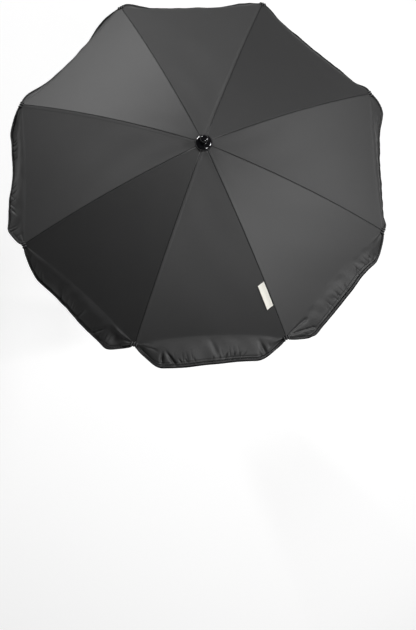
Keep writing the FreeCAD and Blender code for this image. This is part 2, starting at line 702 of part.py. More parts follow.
def bolt_hole(shape):
    """The shape with a hole for a pivot bolt along X."""
    reach = X_AXIS * (2 * KNUCKLE_RADIUS)
    return shape.cut(rod(BOLT_RADIUS + BOLT_CLEARANCE, reach * -1, reach))


def lifted(shape, height):
    """The shape moved up."""
    shape.translate(Z_AXIS * height)
    return shape


def pivot_bolt(outer, height):
    """A bolt along X, headed on the left, whose thread ends in the knob on the right."""
    left = X_AXIS * -outer
    right = X_AXIS * (outer + KNOB_GAP + KNOB_HEIGHT - KNOB_END_WALL)
    head = rod(BOLT_HEAD_RADIUS, left - X_AXIS * BOLT_HEAD_HEIGHT, left)
    end = left.x - BOLT_HEAD_HEIGHT
    head = filleted(head, BOLT_HEAD_FILLET, lambda e: abs(e.BoundBox.XMax - end) < SEAT_CLEARANCE)
    return lifted(head.fuse(rod(BOLT_RADIUS, left, right)), height)


def pivot_knob(outer, height):
    """The hand knob on a pivot bolt."""
    knob = lobed_knob(
        KNOB_RADIUS, KNOB_HEIGHT, KNOB_LOBES, KNOB_FLUTE_RADIUS, KNOB_FLUTE_DEPTH, KNOB_FILLET)
    bore = BOLT_RADIUS + BOLT_CLEARANCE
    knob = knob.cut(rod(bore, Z_AXIS * -OVERRUN, Z_AXIS * (KNOB_HEIGHT - KNOB_END_WALL + SEAT_CLEARANCE)))
    knob = around(knob, 90, Y_AXIS)
    knob.translate(X_AXIS * (outer + KNOB_GAP))
    return lifted(knob, height)


# Tube clamp
def clamp_body():
    """A C-shaped frame with a round seat in its mouth, an arm for the screw and a pocket on top."""
    half = CLAMP_WIDTH / 2
    frame = block(point(-CLAMP_FRONT, -half, CLAMP_FLOOR), point(CLAMP_BACK, half, CLAMP_TOP))
    frame = filleted(frame, CLAMP_CORNER_RADIUS, lambda e: e.BoundBox.YLength > half)
    mouth_low = point(-2 * CLAMP_FRONT, -CLAMP_WIDTH, -CLAMP_MOUTH)
    mouth = block(mouth_low, point(CLAMP_INNER_BACK, CLAMP_WIDTH, 0))
    frame = frame.cut(mouth).cut(rod(PAD_RADIUS, Y_AXIS * -CLAMP_WIDTH, Y_AXIS * CLAMP_WIDTH))
    frame = filleted(frame, CLAMP_EDGE_FILLET, lambda e: on_side(e, half))
    key_back = point(CLAMP_INNER_BACK + OVERRUN, KEY_WIDTH / 2, -PAD_RADIUS)
    key = block(point(CLAMP_INNER_BACK - KEY_DEPTH, -KEY_WIDTH / 2, -CLAMP_MOUTH - OVERRUN), key_back)
    frame = frame.fuse(key)
    bore_low = Z_AXIS * (CLAMP_FLOOR - OVERRUN)
    frame = frame.cut(rod(SCREW_RADIUS + SCREW_CLEARANCE, bore_low, Z_AXIS * -CLAMP_MOUTH))
    room = EAR_THICKNESS / 2 + SEAT_CLEARANCE
    width = EAR_RADIUS + SEAT_CLEARANCE
    floor = CLAMP_TOP - EAR_SEAT - SEAT_CLEARANCE
    pocket = block(point(-room, -width, floor), point(room, width, CLAMP_TOP + OVERRUN))
    return frame.cut(pocket).removeSplitter()


def clamp_ear():
    """The ear set in the frame's top, which the shaft's socket swivels on."""
    low = CLAMP_TOP - EAR_SEAT - SWIVEL_Z
    return lifted(bolt_hole(ear(EAR_RADIUS, EAR_THICKNESS, low)), SWIVEL_Z)


def on_side(edge, half):
    """True if an edge lies flat on one of the clamp's two sides."""
    box = edge.BoundBox
    return box.YLength < SEAT_CLEARANCE and abs(abs(box.YMin) - half) < SEAT_CLEARANCE


def jaw_pad(first, last):
    """A rubber liner that fills a jaw's round seat between two angles about the tube."""
    half = CLAMP_WIDTH / 2
    turns = [math.radians(a) for a in (first, (first + last) / 2, last)]
    outer = [point(PAD_RADIUS * math.cos(t), -half, PAD_RADIUS * math.sin(t)) for t in turns]
    inner = [point(TUBE_RADIUS * math.cos(t), -half, TUBE_RADIUS * math.sin(t)) for t in turns]
    edges = [arc(*outer)] + path([outer[2], inner[2]]) + [arc(*inner[::-1])] + path([inner[0], outer[0]])
    return Part.Face(Part.Wire(edges)).extrude(Y_AXIS * CLAMP_WIDTH)


def moving_jaw():
    """The sliding jaw under the tube, keyed to the frame's back and threaded on the screw."""
    half = CLAMP_WIDTH / 2
    back = CLAMP_INNER_BACK - JAW_CLEARANCE
    jaw = block(point(-JAW_FRONT, -half, -JAW_GAP - JAW_HEIGHT), point(back, half, -JAW_GAP))
    jaw = filleted(jaw, CLAMP_EDGE_FILLET, lambda e: e.BoundBox.YLength > half)
    jaw = jaw.cut(rod(PAD_RADIUS, Y_AXIS * -CLAMP_WIDTH, Y_AXIS * CLAMP_WIDTH))
    room = KEY_WIDTH / 2 + JAW_CLEARANCE
    inner = back - KEY_DEPTH
    low = -JAW_GAP - JAW_HEIGHT
    jaw = jaw.cut(block(point(inner, -room, low - OVERRUN), point(back + OVERRUN, room, OVERRUN)))
    bore_top = Z_AXIS * (low + JAW_BORE_DEPTH)
    return jaw.cut(rod(SCREW_RADIUS + SCREW_CLEARANCE, Z_AXIS * (low - OVERRUN), bore_top))


def clamp_screw():
    """The captive screw that draws the jaw, with a flange that rests on the arm."""
    rest = Z_AXIS * (SCREW_CLEARANCE - CLAMP_MOUTH)
    tip = Z_AXIS * (SCREW_ENGAGEMENT - JAW_GAP - JAW_HEIGHT)
    end = Z_AXIS * (CLAMP_KNOB_BASE + KNOB_END_WALL + SEAT_CLEARANCE)
    flange = rod(SCREW_FLANGE_RADIUS, rest, rest + Z_AXIS * SCREW_FLANGE_HEIGHT)
    return flange.fuse(rod(SCREW_RADIUS, end, tip)).removeSplitter()


def clamp_knob():
    """The star knob pressed on the screw's lower end, under the arm."""
    knob = lobed_knob(
        CLAMP_KNOB_RADIUS, CLAMP_KNOB_HEIGHT, CLAMP_KNOB_LOBES,
        CLAMP_KNOB_FLUTE_RADIUS, CLAMP_KNOB_FLUTE_DEPTH, CLAMP_KNOB_FILLET)
    bore = rod(SCREW_RADIUS + SEAT_CLEARANCE, Z_AXIS * KNOB_END_WALL, Z_AXIS * 2 * CLAMP_KNOB_HEIGHT)
    return lifted(knob.cut(bore), CLAMP_KNOB_BASE)


# Swivel, socket and lock
def shaft_socket():
    """A fork on the clamp's ear that becomes a sleeve for the shaft, with a boss for the lock screw."""
    column = rod(SOCKET_RADIUS, Z_AXIS * -SOCKET_RADIUS, Z_AXIS * (SOCKET_REACH + SOCKET_LENGTH))
    fork = around(ear(EAR_RADIUS, 2 * SOCKET_RADIUS, -SOCKET_REACH), 180, X_AXIS).common(column)
    room = EAR_THICKNESS / 2 + CHEEK_CLEARANCE
    gap_low = point(-room, -SOCKET_RADIUS, -SOCKET_RADIUS)
    fork = fork.cut(block(gap_low, point(room, SOCKET_RADIUS, SOCKET_REACH)))
    top = SOCKET_REACH + SOCKET_LENGTH
    sleeve = rod(SOCKET_RADIUS, Z_AXIS * SOCKET_REACH, Z_AXIS * top)
    lock = Z_AXIS * (top - LOCK_DROP)
    boss = rod(LOCK_BOSS_RADIUS, lock, lock + X_AXIS * LOCK_BOSS_REACH)
    socket = fork.fuse(sleeve).fuse(boss)
    floor = Z_AXIS * (SOCKET_REACH + SOCKET_FLOOR)
    bore = rod(BUSH_RADIUS + BUSH_CLEARANCE, floor, Z_AXIS * (top + OVERRUN))
    hole = rod(LOCK_SCREW_RADIUS + SCREW_CLEARANCE, lock, lock + X_AXIS * (LOCK_BOSS_REACH + OVERRUN))
    return lifted(bolt_hole(socket.cut(bore).cut(hole).removeSplitter()), SWIVEL_Z)


def shaft_bush():
    """The split bush that turns in the socket and grips the shaft."""
    top = Z_AXIS * SOCKET_TOP_Z
    low = Z_AXIS * (FOOT_Z + BUSH_CLEARANCE)
    bush = rod(BUSH_RADIUS, low, top).fuse(rod(SOCKET_RADIUS, top, top + Z_AXIS * BUSH_FLANGE))
    over = Z_AXIS * (BUSH_FLANGE + OVERRUN)
    bush = bush.cut(rod(SHAFT_RADIUS + BUSH_CLEARANCE, low - Z_AXIS * OVERRUN, top + over))
    slit_top = low.z + (top.z - low.z) * BUSH_SLIT_SHARE
    slit_low = point(-2 * BUSH_RADIUS, -BUSH_SLIT / 2, low.z - OVERRUN)
    return bush.cut(block(slit_low, point(0, BUSH_SLIT / 2, slit_top)))


def lock_pad():
    """The plunger that the lock screw presses on the bush, bored for the screw's tip."""
    start = point(BUSH_RADIUS + SEAT_CLEARANCE, 0, SOCKET_TOP_Z - LOCK_DROP)
    end = start + X_AXIS * LOCK_PAD_LENGTH
    bore = rod(LOCK_TIP_RADIUS + SCREW_CLEARANCE, start + X_AXIS * LOCK_PAD_WALL, end + X_AXIS * OVERRUN)
    return rod(LOCK_PAD_RADIUS, start, end).cut(bore)


def lock_screw():
    """The captive hand screw in the socket's boss, whose tip draws the plunger."""
    back = BUSH_RADIUS + SEAT_CLEARANCE + LOCK_TRAVEL + LOCK_PLAY
    tip = point(back + LOCK_PAD_WALL, 0, SOCKET_TOP_Z - LOCK_DROP)
    start = point(back + LOCK_PAD_LENGTH, 0, tip.z)
    face = point(LOCK_BOSS_REACH + LOCK_KNOB_GAP, 0, tip.z)
    knob = lobed_knob(
        LOCK_KNOB_RADIUS, LOCK_KNOB_HEIGHT, KNOB_LOBES, KNOB_FLUTE_RADIUS, KNOB_FLUTE_DEPTH, KNOB_FILLET)
    knob = around(knob, 90, Y_AXIS)
    knob.translate(face)
    shank = rod(LOCK_SCREW_RADIUS, start, face + X_AXIS * (LOCK_KNOB_HEIGHT / 2))
    return knob.fuse(shank).fuse(rod(LOCK_TIP_RADIUS, tip, start)).removeSplitter()


# Every piece by name
def pieces():
    made = {
        "crown": crown(),
        "crown_wire": hinge_wire(CROWN_Z),
        "finial_collar": finial_collar(),
        "finial_tip": finial_tip(),
        "upper_shaft": upper_shaft(),
        "catch_spring": catch_spring(),
        "runner": runner(),
        "runner_wire": hinge_wire(RUNNER_Z),
        "knuckle_tongue": knuckle_tongue(),
        "knuckle_fork": knuckle_fork(),
        "tilt_bolt": pivot_bolt(KNUCKLE_RADIUS, KNUCKLE_Z),
        "tilt_knob": pivot_knob(KNUCKLE_RADIUS, KNUCKLE_Z),
        "lower_shaft": lower_shaft(),
        "foot_cap": foot_cap(),
        "shaft_bush": shaft_bush(),
        "shaft_socket": shaft_socket(),
        "lock_pad": lock_pad(),
        "lock_screw": lock_screw(),
        "swivel_bolt": pivot_bolt(SOCKET_RADIUS, SWIVEL_Z),
        "swivel_knob": pivot_knob(SOCKET_RADIUS, SWIVEL_Z),
        "clamp_body": clamp_body(),
        "clamp_ear": clamp_ear(),
        "upper_jaw_pad": jaw_pad(PAD_MARGIN_ANGLE, 180 - PAD_MARGIN_ANGLE),
        "moving_jaw": moving_jaw(),
        "lower_jaw_pad": jaw_pad(180 + PAD_MARGIN_ANGLE, 360 - PAD_MARGIN_ANGLE),
        "clamp_screw": clamp_screw(),
        "clamp_knob": clamp_knob(),
        "sewn_label": around(sewn_label(), rib_angle(LABEL_RIB)),
    }
    for n in range(PANELS):
        made[f"canopy_cloth_{n + 1}"] = around(canopy_cloth(n), rib_angle(n))
    by_rib = {
        "rib": rib(),
        "rib_fittings": rib_fittings(),
        "stretcher": stretcher(),
    }
    for name, shape in by_rib.items():
        for n in range(PANELS):
            made[f"{name}_{n + 1}"] = around(shape, rib_angle(n))
    return made


def main():
    os.makedirs("parts", exist_ok=True)
    for name, shape in pieces().items():
        shape.exportStep(f"parts/{name}.step")
        print(name, len(shape.Solids), shape.isValid(), round(shape.Volume, 2))


main()
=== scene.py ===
import json
import math

import bpy
import numpy as np
from mathutils import Euler, Matrix, Vector


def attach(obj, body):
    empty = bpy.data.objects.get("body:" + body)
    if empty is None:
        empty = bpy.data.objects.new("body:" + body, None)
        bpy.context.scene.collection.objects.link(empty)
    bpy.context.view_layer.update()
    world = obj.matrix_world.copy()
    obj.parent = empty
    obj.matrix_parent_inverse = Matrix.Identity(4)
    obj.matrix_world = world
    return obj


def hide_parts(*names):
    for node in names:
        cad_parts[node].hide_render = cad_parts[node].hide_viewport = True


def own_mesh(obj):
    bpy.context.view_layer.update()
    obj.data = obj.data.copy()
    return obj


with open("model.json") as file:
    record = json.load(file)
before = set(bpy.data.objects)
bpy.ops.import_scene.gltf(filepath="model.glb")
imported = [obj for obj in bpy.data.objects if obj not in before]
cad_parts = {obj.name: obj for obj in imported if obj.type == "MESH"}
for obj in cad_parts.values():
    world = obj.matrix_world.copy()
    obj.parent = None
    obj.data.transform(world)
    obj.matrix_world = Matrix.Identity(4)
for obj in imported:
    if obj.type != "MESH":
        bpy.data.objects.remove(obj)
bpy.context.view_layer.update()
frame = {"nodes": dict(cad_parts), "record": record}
for name in ("Cube", "Light", "Camera"):
    if name in bpy.data.objects:
        bpy.data.objects.remove(bpy.data.objects[name])

# Canopy sizes in metres, as in the CAD: the radius to the rib tips, the drop from the apex to them, the
# bulge of the arc between, the apex's height, the cloth's edge and its thickness. Only the hole is wider
# than in the CAD. The finial's collar covers it, and the folded cloth clears the collar.
PANELS = 8
RADIUS, DROP, BULGE = 0.350, 0.120, 0.020
APEX = 0.7975
HOLE, EDGE = 0.0105, 0.346
CLOTH = 0.0004
MM = 1000

# What follows from them: half a panel's angle, the arc's radius and centre, and half the width of its edge
HALF = math.pi / PANELS
CHORD = math.hypot(RADIUS, DROP)
ARC = (CHORD**2 / 4 + BULGE**2) / (2 * BULGE)
BACK = (ARC - BULGE) / CHORD
ARC_X = RADIUS / 2 - DROP * BACK
ARC_Z = APEX - DROP / 2 - RADIUS * BACK
SPAN = EDGE * math.sin(HALF)

# How each panel's valance hangs. The panels go anticlockwise from the one that faces +X. A row of five
# values is for five places across a panel, from near the rib before it to near the rib after it, and
# BREADTH blends them. A pair is for those two ribs. SLOPE is how steeply the cloth hangs, and CURL how much
# that changes on the way to the hem. TURN is the length over which the cloth turns down. DEPTH is how far
# it hangs, and RUN how far from each rib it reaches that depth. BOW is how far the fold line bows in, and
# SKEW how much more of that lies towards the rib after the panel. Beside each rib the slope is RIB_SLOPE,
# the cloth leans out along the rib, and only STUB of the depth is left.
PLACES, BREADTH = np.array([-0.85, -0.42, 0, 0.42, 0.85]), 0.26
SLOPE = np.radians([
    (83, 83, 84, 73, 52), (74, 71, 73, 72, 74), (61, 72, 71, 70, 64), (61, 79, 80, 76, 61),
    (64, 73, 60, 48, 35), (46, 46, 45, 36, 24), (14, 11, 8, 8, 10), (38, 25, 21, 20, 50)])
CURL = np.radians([
    (-26, -26, -26, -22, -14), (-20, -20, -20, -20, -20), (-20, -20, -20, -20, -20),
    (-20, -20, -20, -20, -20), (-36, -32, -10, 0, 0), (0, 0, 0, 0, 0), (0, 0, 0, 0, 0), (0, 0, 0, 0, 0)])
CURL_START, CURL_RUN = 0.45, 0.4
TURN = np.array([0.014, 0.020, 0.014, 0.012, 0.014, 0.013, 0.017, 0.040])
LEAST_TURN = 0.004
DEPTH = np.array([
    (42, 42, 42, 42, 42), (42, 42, 42, 42, 42), (42, 42, 42, 42, 42), (42, 42, 42, 42, 42),
    (42, 42, 42, 42, 42), (42, 42, 42, 44, 44), (44, 45, 41, 38, 40), (46, 38, 34, 29, 41)]) / MM
RUN = np.array([
    (0.062, 0.030), (0.062, 0.062), (0.062, 0.034), (0.062, 0.062),
    (0.050, 0.042), (0.066, 0.038), (0.046, 0.055), (0.050, 0.046)])
BOW = np.array([0.006, 0.0202, 0.0154, 0.0135, 0.006, 0.007, 0.009, 0.010])
SKEW = np.array([0, 0.09, 0.14, 0.69, 0, 0, 0, 0])
RIB_SLOPE = np.radians([(40, 40), (40, 56), (56, 40), (50, 40), (40, 40), (40, 40), (40, 40), (40, 40)])
SLOPE_ZONE, LEAN_ZONE = 0.020, 0.012
STUB = 0.003

# The taut panels sag and drift. A slow wave has a share, waves down the dome, waves across it and its
# phase's index.
SAG, DRIFT = 0.0016, 0.0002
SLOW_WAVES = [(1.0, 9, 2, 0), (0.8, 15, -4.5, 1)]

# The valance's billow and its one long ripple, by panel: the ripple's height, its waves and where it stands
# out most. Small waves crumple all of it. These fade in below the fold line and stay clear of the ribs.
BILLOW = np.array([2, 0, 0, 0, 2, 3, 3, 0.5]) / MM
RIPPLE = np.array([
    (0.0008, 5, -0.1), (0.001, 4, 0), (0.001, 4, 0), (0.001, 4, 0),
    (0.002, 7.3, 0.36), (0.002, 5.5, 0.2), (0.002, 4, -0.4), (0.001, 6, 0)])
CRUMPLE, CLEAR, FADE_IN = 0.00018, 0.020, 3

# The gathers over the hem, by panel. They come in patches, lean a little, and their pitch drifts in waves,
# each with a share, waves along the hem and its phase's index. The cloth dips in a groove where the hem's
# tape begins.
GATHER = np.array([0.4, 0.3, 0.3, 0.3, 1.5, 1.1, 0.5, 0.8]) / MM
GATHER_PITCH, GATHER_HEIGHT, GATHER_REACH = 0.0105, 0.012, 0.008
GATHER_LEAN, GATHER_SHARPNESS = 22, 2.2
GATHER_DRIFT = [(0.25, 150, 4), (0.13, 370, 5)]
PATCH_WAVES, PATCH_SHIFT, PATCH_RAMP, PATCH_PHASE = 74, 0.35, 0.8, 6
TAPE = 0.0066
GROOVE, GROOVE_PLACE, GROOVE_WIDTH = 0.0008, 0.0008, 0.0009

# Single pleats: the panel, the place across it, and in millimetres the height over the hem, the lean, half
# the length, half the width and the depth. PLEAT_FADE_IN is for the way down from the fold line.
PLEATS = [
    (6, -0.66, 13, 0.10, 8, 2.8, 4.2), (6, -0.53, 12, -0.7, 9, 3.4, 5.0), (6, -0.42, 9, -0.5, 3, 1.8, 1.6),
    (6, -0.34, 9, -0.4, 3, 1.8, 1.2), (6, -0.23, 9, -0.3, 3, 1.8, 0.9), (6, 0.02, 9, 0.3, 2.5, 1.5, 1.0),
    (6, 0.11, 9, 0.4, 2.5, 1.5, 1.1), (6, 0.20, 10, 0.5, 4, 1.6, 1.6), (6, 0.30, 10, 0.7, 4, 1.5, 1.1),
    (6, 0.37, 10, 0.8, 4, 1.5, 1.2), (6, 0.44, 10, 0.9, 4, 1.5, 1.1), (6, 0.05, 21, -0.5, 12, 5, 1.5),
    (6, 0.705, 14, -0.43, 11, 3.4, 3.8), (6, 0.66, 9, -0.3, 5, 2.6, 1.6),
    (7, 0.62, 12, 0.9, 5, 1.8, 2.2), (7, 0.70, 11, 0.5, 4, 1.6, 1.8), (7, 0.36, 10, 0.6, 4, 1.6, 1.6),
    (7, 0.08, 10, 0.5, 4, 1.6, 1.5), (7, -0.08, 10, 0.4, 4, 1.6, 1.5), (7, -0.30, 10, 0.3, 4, 1.6, 1.0),
    (5, -0.55, 12, -0.5, 7, 2.2, 1.8), (5, -0.2, 13, -0.4, 8, 2.4, 2.2), (5, 0.18, 14, 0.3, 9, 2.6, 2.6),
    (5, 0.52, 15, 0.6, 10, 3.0, 3.2),
    (4, 0.50, 14, 0.9, 7, 2.6, 2.8), (4, 0.42, 12, 0.9, 6, 2.2, 2.0), (4, 0.30, 12, 0.9, 6, 2.0, 1.6),
    (0, 0.34, 12, 0.4, 6, 2.2, 1.8), (0, -0.04, 12, 0.3, 5, 1.8, 1.2)]
PLEAT_FADE_IN = 4

# Creases out from a rib's tip: the panel, the side, the angle below the fold line in degrees, and in
# millimetres where they begin and end, half the width and the depth. CREASE_FADE is in millimetres too.
CREASES = [
    (7, -1, 13, 8, 50, 2.4, 2.2), (7, -1, 32, 14, 60, 1.9, 2.6), (7, -1, 48, 28, 56, 1.6, 1.8),
    (6, -1, 24, 10, 40, 1.8, 0.9), (6, -1, 46, 12, 38, 2.0, 1.1), (5, 1, 62, 16, 50, 2.2, 1.8)]
CREASE_FADE, CREASE_TOP = 5, 0.003

# Small folds that fan out from the ribs' tips, and a dent beside each tip with a crest over it, by panel
# for the rib before it and the rib after it. FOLD_TOP is how far below the fold line both have faded in.
FAN = np.array([
    (0.4, 0.3), (0.4, 0.4), (0.4, 0.4), (0.4, 0.5), (0.6, 0.6), (0.6, 1.2), (0.7, 1.2), (1.1, 0.5)]) / MM
FAN_RADIUS, FAN_SPREAD, FAN_FOLDS, FAN_CLEAR, FAN_PHASE = 0.016, 0.011, 11, 0.005, 7
DENT = np.array([(0, 0), (0, 0), (0, 0), (0, 0), (1, 1), (1, 9), (1, 2), (0, 0)]) / MM
DENT_PLACE, DENT_WIDTH = 0.033, 0.013
HOLLOW, HOLLOW_UP, HOLLOW_DOWN = 0.017, 0.007, 0.015
CREST, CREST_WIDTH, CREST_SHARE = 0.006, 0.003, 0.22
FOLD_TOP = 0.004

# A seam's length, its groove, the low welt on one side of it and the small puckers along it
SEAM_LENGTH, SEAM_DEPTH, SEAM_HALF = 0.37, 0.0005, 0.0007
WELT, WELT_START, WELT_RISE, WELT_END, WELT_FALL = 0.00015, 0.0007, 0.0005, 0.0052, 0.0008
PUCKER, PUCKER_START, PUCKER_REACH, PUCKER_FADE_IN = 0.00012, 0.003, 0.009, 6
PUCKER_PITCH, PUCKER_DRIFT, PUCKER_DRIFT_PITCH = 0.0125, 1.6, 0.061

# Rows down the cloth, closer near the fold line and near the hem, and columns out from a seam, closer
# beside it. T runs down the dome and Q down the valance. NEAR holds where half a panel is FULL_WIDTH wide
# or more, and shrinks above that.
UPPER_SHARE, UPPER_ROWS, LOWER_ROWS, FLAP_ROWS, FLAP_CROWDING = 0.8, 66, 20, 46, 1.5
ROWS = np.concatenate([
    np.linspace(0, UPPER_SHARE, UPPER_ROWS, endpoint=False), np.linspace(UPPER_SHARE, 1, LOWER_ROWS)])
FLAP = 1 - (1 - np.linspace(0, 1, FLAP_ROWS + 1)[1:]) ** FLAP_CROWDING
T = np.concatenate([ROWS, np.ones(len(FLAP))])
Q = np.concatenate([np.zeros(len(ROWS)), FLAP])
NEAR = np.array([0, 0.4, 0.8, 1.2, 1.8, 3.0, 4.2, 5.0, 5.5, 6.0, 7.5, 9.5]) / MM
FAR_COLUMNS, FULL_WIDTH = 104, 0.022
FAR_SHARES = np.linspace(0, 1, FAR_COLUMNS + 1)[1:]
STEP, TINY = 1e-4, 1e-12

# The waves' phases, by panel and by seam, and each valance's small waves: their direction, length and phase
SEED, PHASES, SMALL_WAVES, SHORTEST, LONGEST = 11, 8, 6, 0.018, 0.045
rng = np.random.default_rng(SEED)
PHASE = rng.uniform(0, 2 * math.pi, (PANELS, PHASES))
SEAM_PHASE = rng.uniform(0, 2 * math.pi, PANELS)
WAVES = rng.uniform((0, SHORTEST, 0), (math.pi, LONGEST, 2 * math.pi), (PANELS, SMALL_WAVES, 3))

# Places and weights that add up a bending line's length
GAUSS_POINTS = 10
NODES, WEIGHTS = np.polynomial.legendre.leggauss(GAUSS_POINTS)


def smooth(x):
    """A soft step from 0 to 1."""
    x = np.clip(x, 0, 1)
    return x * x * (3 - 2 * x)


def bell(x):
    """A soft bump of height 1 about 0."""
    return np.exp(-(x**2))


def unit(vectors):
    """Vectors made one long."""
    return vectors / np.linalg.norm(vectors, axis=-1, keepdims=True)


def turned(x, y, z, angle):
    """Points turned about the shaft's axis."""
    c, s = math.cos(angle), math.sin(angle)
    return np.stack([x * c - y * s, x * s + y * c, z], -1)


def dome(r):
    """The dome's height at a radius along a rib."""
    return ARC_Z + np.sqrt(ARC**2 - (r - ARC_X) ** 2)


def dome_fall(r):
    """How steeply the dome falls at a radius along a rib."""
    return (r - ARC_X) / np.sqrt(ARC**2 - (r - ARC_X) ** 2)


def spread(values, v):
    """A value across a panel, from the ones at its five places."""
    weight = bell((np.asarray(v)[..., None] - PLACES) / BREADTH)
    return (weight * values).sum(-1) / weight.sum(-1)


def by_rib(pair, v):
    """The value for the rib before a panel in its first half, and for the rib after it in its second."""
    return np.where(v < 0, pair[0], pair[1])


def flap_depth(g, v):
    """How deep panel g's valance is at v."""
    w = (1 - np.abs(v)) * SPAN
    return STUB + (spread(DEPTH[g], v) - STUB) * np.sin(math.pi / 2 * np.clip(w / by_rib(RUN[g], v), 0, 1))


def gore(g, t, q, v):
    """Points of panel g before its wrinkles. t runs down the dome from the hole to the fold line, q on from
    there to the hem, and v across from one rib to the next, from -1 to 1."""
    w = (1 - np.abs(v)) * SPAN
    bow = BOW[g] * (1 - v**2) * (1 + SKEW[g] * v)
    fold = EDGE - bow
    r = HOLE + (fold - HOLE) * t
    x, y, z = r * math.cos(HALF), r * math.sin(HALF) * v, dome(r)
    first = np.arctan(dome_fall(fold) / math.cos(HALF))
    near = bell(w / SLOPE_ZONE)
    hang = spread(SLOPE[g], v)
    last = hang + (by_rib(RIB_SLOPE[g], v) - hang) * near
    curl = spread(CURL[g], v) * (1 - near)
    turn = LEAST_TURN + TURN[g] * (1 - v**2)
    reach = (bow / np.cos(first) + flap_depth(g, v)) * q
    across, down = np.zeros_like(x), np.zeros_like(x)
    for node, weight in zip(NODES, WEIGHTS):
        share = (node + 1) / 2
        angle = first + (last - first) * smooth(reach * share / turn)
        angle = angle + curl * smooth((q * share - CURL_START) / CURL_RUN)
        across += weight / 2 * np.cos(angle) * reach
        down += weight / 2 * np.sin(angle) * reach
    lean = np.sign(v) * HALF * bell(w / LEAN_ZONE)
    return turned(x + across * np.cos(lean), y + across * np.sin(lean), z - down, 2 * HALF * g)


def taut_cloth(g, t, q, v):
    """The sag and drift of panel g."""
    taut = (1 - v**2) * (1 - q)
    waves = sum(
        share * np.sin(down * t + across * v + PHASE[g][k]) for share, down, across, k in SLOW_WAVES)
    return taut * (DRIFT * smooth(FADE_IN * t) * waves - SAG * t * np.sin(math.pi * np.clip(t, 0, 1)))


def loose_cloth(g, q, v, along, below, clear):
    """The billow, the ripple and the crumpling of panel g's valance."""
    height, waves, crest = RIPPLE[g]
    h = BILLOW[g] * np.sin(math.pi * q) * clear + height * q * clear * np.cos(waves * (v - crest))
    for way, length, phase in WAVES[g]:
        place = along * math.cos(way) + below * math.sin(way)
        h = h + CRUMPLE * smooth(FADE_IN * q) * clear * np.sin(2 * math.pi * place / length + phase)
    return h


def gathers(g, along, above):
    """How deep panel g's gathers and the groove along its tape are."""
    beat = along / GATHER_PITCH + GATHER_LEAN * above
    for share, waves, k in GATHER_DRIFT:
        beat = beat + share * np.sin(waves * along + PHASE[g][k])
    patch = smooth((np.sin(PATCH_WAVES * along + PHASE[g][PATCH_PHASE]) + PATCH_SHIFT) / PATCH_RAMP)
    pulse = np.exp(GATHER_SHARPNESS * (np.sin(2 * math.pi * beat) - 1))
    deep = GATHER[g] * bell((above - GATHER_HEIGHT) / GATHER_REACH) * patch * pulse
    return deep + GROOVE * bell((above - TAPE - GROOVE_PLACE) / GROOVE_WIDTH)


def pleats(g, q, along, above):
    """How deep panel g's single pleats are."""
    h = np.zeros_like(along)
    for panel, place, height, lean, long, wide, deep in PLEATS:
        if panel == g:
            rise = above - height / MM
            off = along - place * SPAN - lean * rise
            h = h + deep / MM * smooth(PLEAT_FADE_IN * q) * bell(off * MM / wide) * bell(rise * MM / long)
    return h


def tip_folds(g, v, w, below):
    """The creases, the dents and the fan of small folds beside panel g's two rib tips."""
    h = np.zeros_like(w)
    radius, bearing = np.hypot(w, below), np.arctan2(below, w)
    for panel, side, angle, start, end, wide, deep in CREASES:
        if panel == g:
            off = radius * np.sin(bearing - math.radians(angle)) * MM / wide
            part = smooth((radius * MM - start + CREASE_FADE) / (2 * CREASE_FADE))
            part = part * smooth((end + CREASE_FADE - radius * MM) / (2 * CREASE_FADE))
            h = h - deep / MM * (v * side > 0) * part * bell(off) * smooth(below / CREASE_TOP)
    hollow = bell((below - HOLLOW) / np.where(below < HOLLOW, HOLLOW_UP, HOLLOW_DOWN))
    hollow = hollow - CREST_SHARE * bell((below - CREST) / CREST_WIDTH)
    dent = by_rib(DENT[g], v) * bell((w - DENT_PLACE) / DENT_WIDTH) * hollow
    ring = bell((radius - FAN_RADIUS) / FAN_SPREAD) * (1 - bell(w / FAN_CLEAR))
    fan = by_rib(FAN[g], v) * ring * np.sin(FAN_FOLDS * bearing + PHASE[g][FAN_PHASE])
    return h + (fan - dent) * smooth(below / FOLD_TOP)


def wrinkle(g, t, q, v):
    """How far the cloth of panel g stands off its plain form."""
    w = (1 - np.abs(v)) * SPAN
    depth = flap_depth(g, v)
    along, below, above = v * SPAN, depth * q, depth * (1 - q)
    clear = 1 - bell(w / CLEAR)
    h = taut_cloth(g, t, q, v) + loose_cloth(g, q, v, along, below, clear)
    h = h - gathers(g, along, above) * smooth(FADE_IN * q) * clear
    return h - pleats(g, q, along, above) + tip_folds(g, v, w, below)


def seam(n, t, q, d, side):
    """The groove along the seam over rib n, the low welt on one side of it and the small puckers beside it.
    d is the distance from the seam."""
    s = t * SEAM_LENGTH
    h = -SEAM_DEPTH * bell(d / SEAM_HALF)
    welt = WELT * smooth((d - WELT_START) / WELT_RISE) * (1 - smooth((d - WELT_END) / WELT_FALL))
    h = h + np.where(side > 0, welt, 0)
    drift = PUCKER_DRIFT * np.sin(2 * math.pi * s / PUCKER_DRIFT_PITCH)
    wave = np.sin(2 * math.pi * s / PUCKER_PITCH + SEAM_PHASE[n] + drift)
    reach = np.exp(-d / PUCKER_REACH) * (1 - np.exp(-d / PUCKER_START))
    h = h + PUCKER * reach * wave * smooth(t * PUCKER_FADE_IN)
    return h * (1 - smooth(q * FADE_IN))


def columns(t):
    """Distances from the seam of a half panel's columns, for each row, and the half panel's width there."""
    width = (HOLE + (EDGE - HOLE) * t) * math.sin(HALF)
    close = NEAR[None] * np.minimum(1, width / FULL_WIDTH)[:, None]
    last = close[:, -1:]
    far = last + (width[:, None] - last) * FAR_SHARES[None]
    return np.concatenate([close, far], 1), width


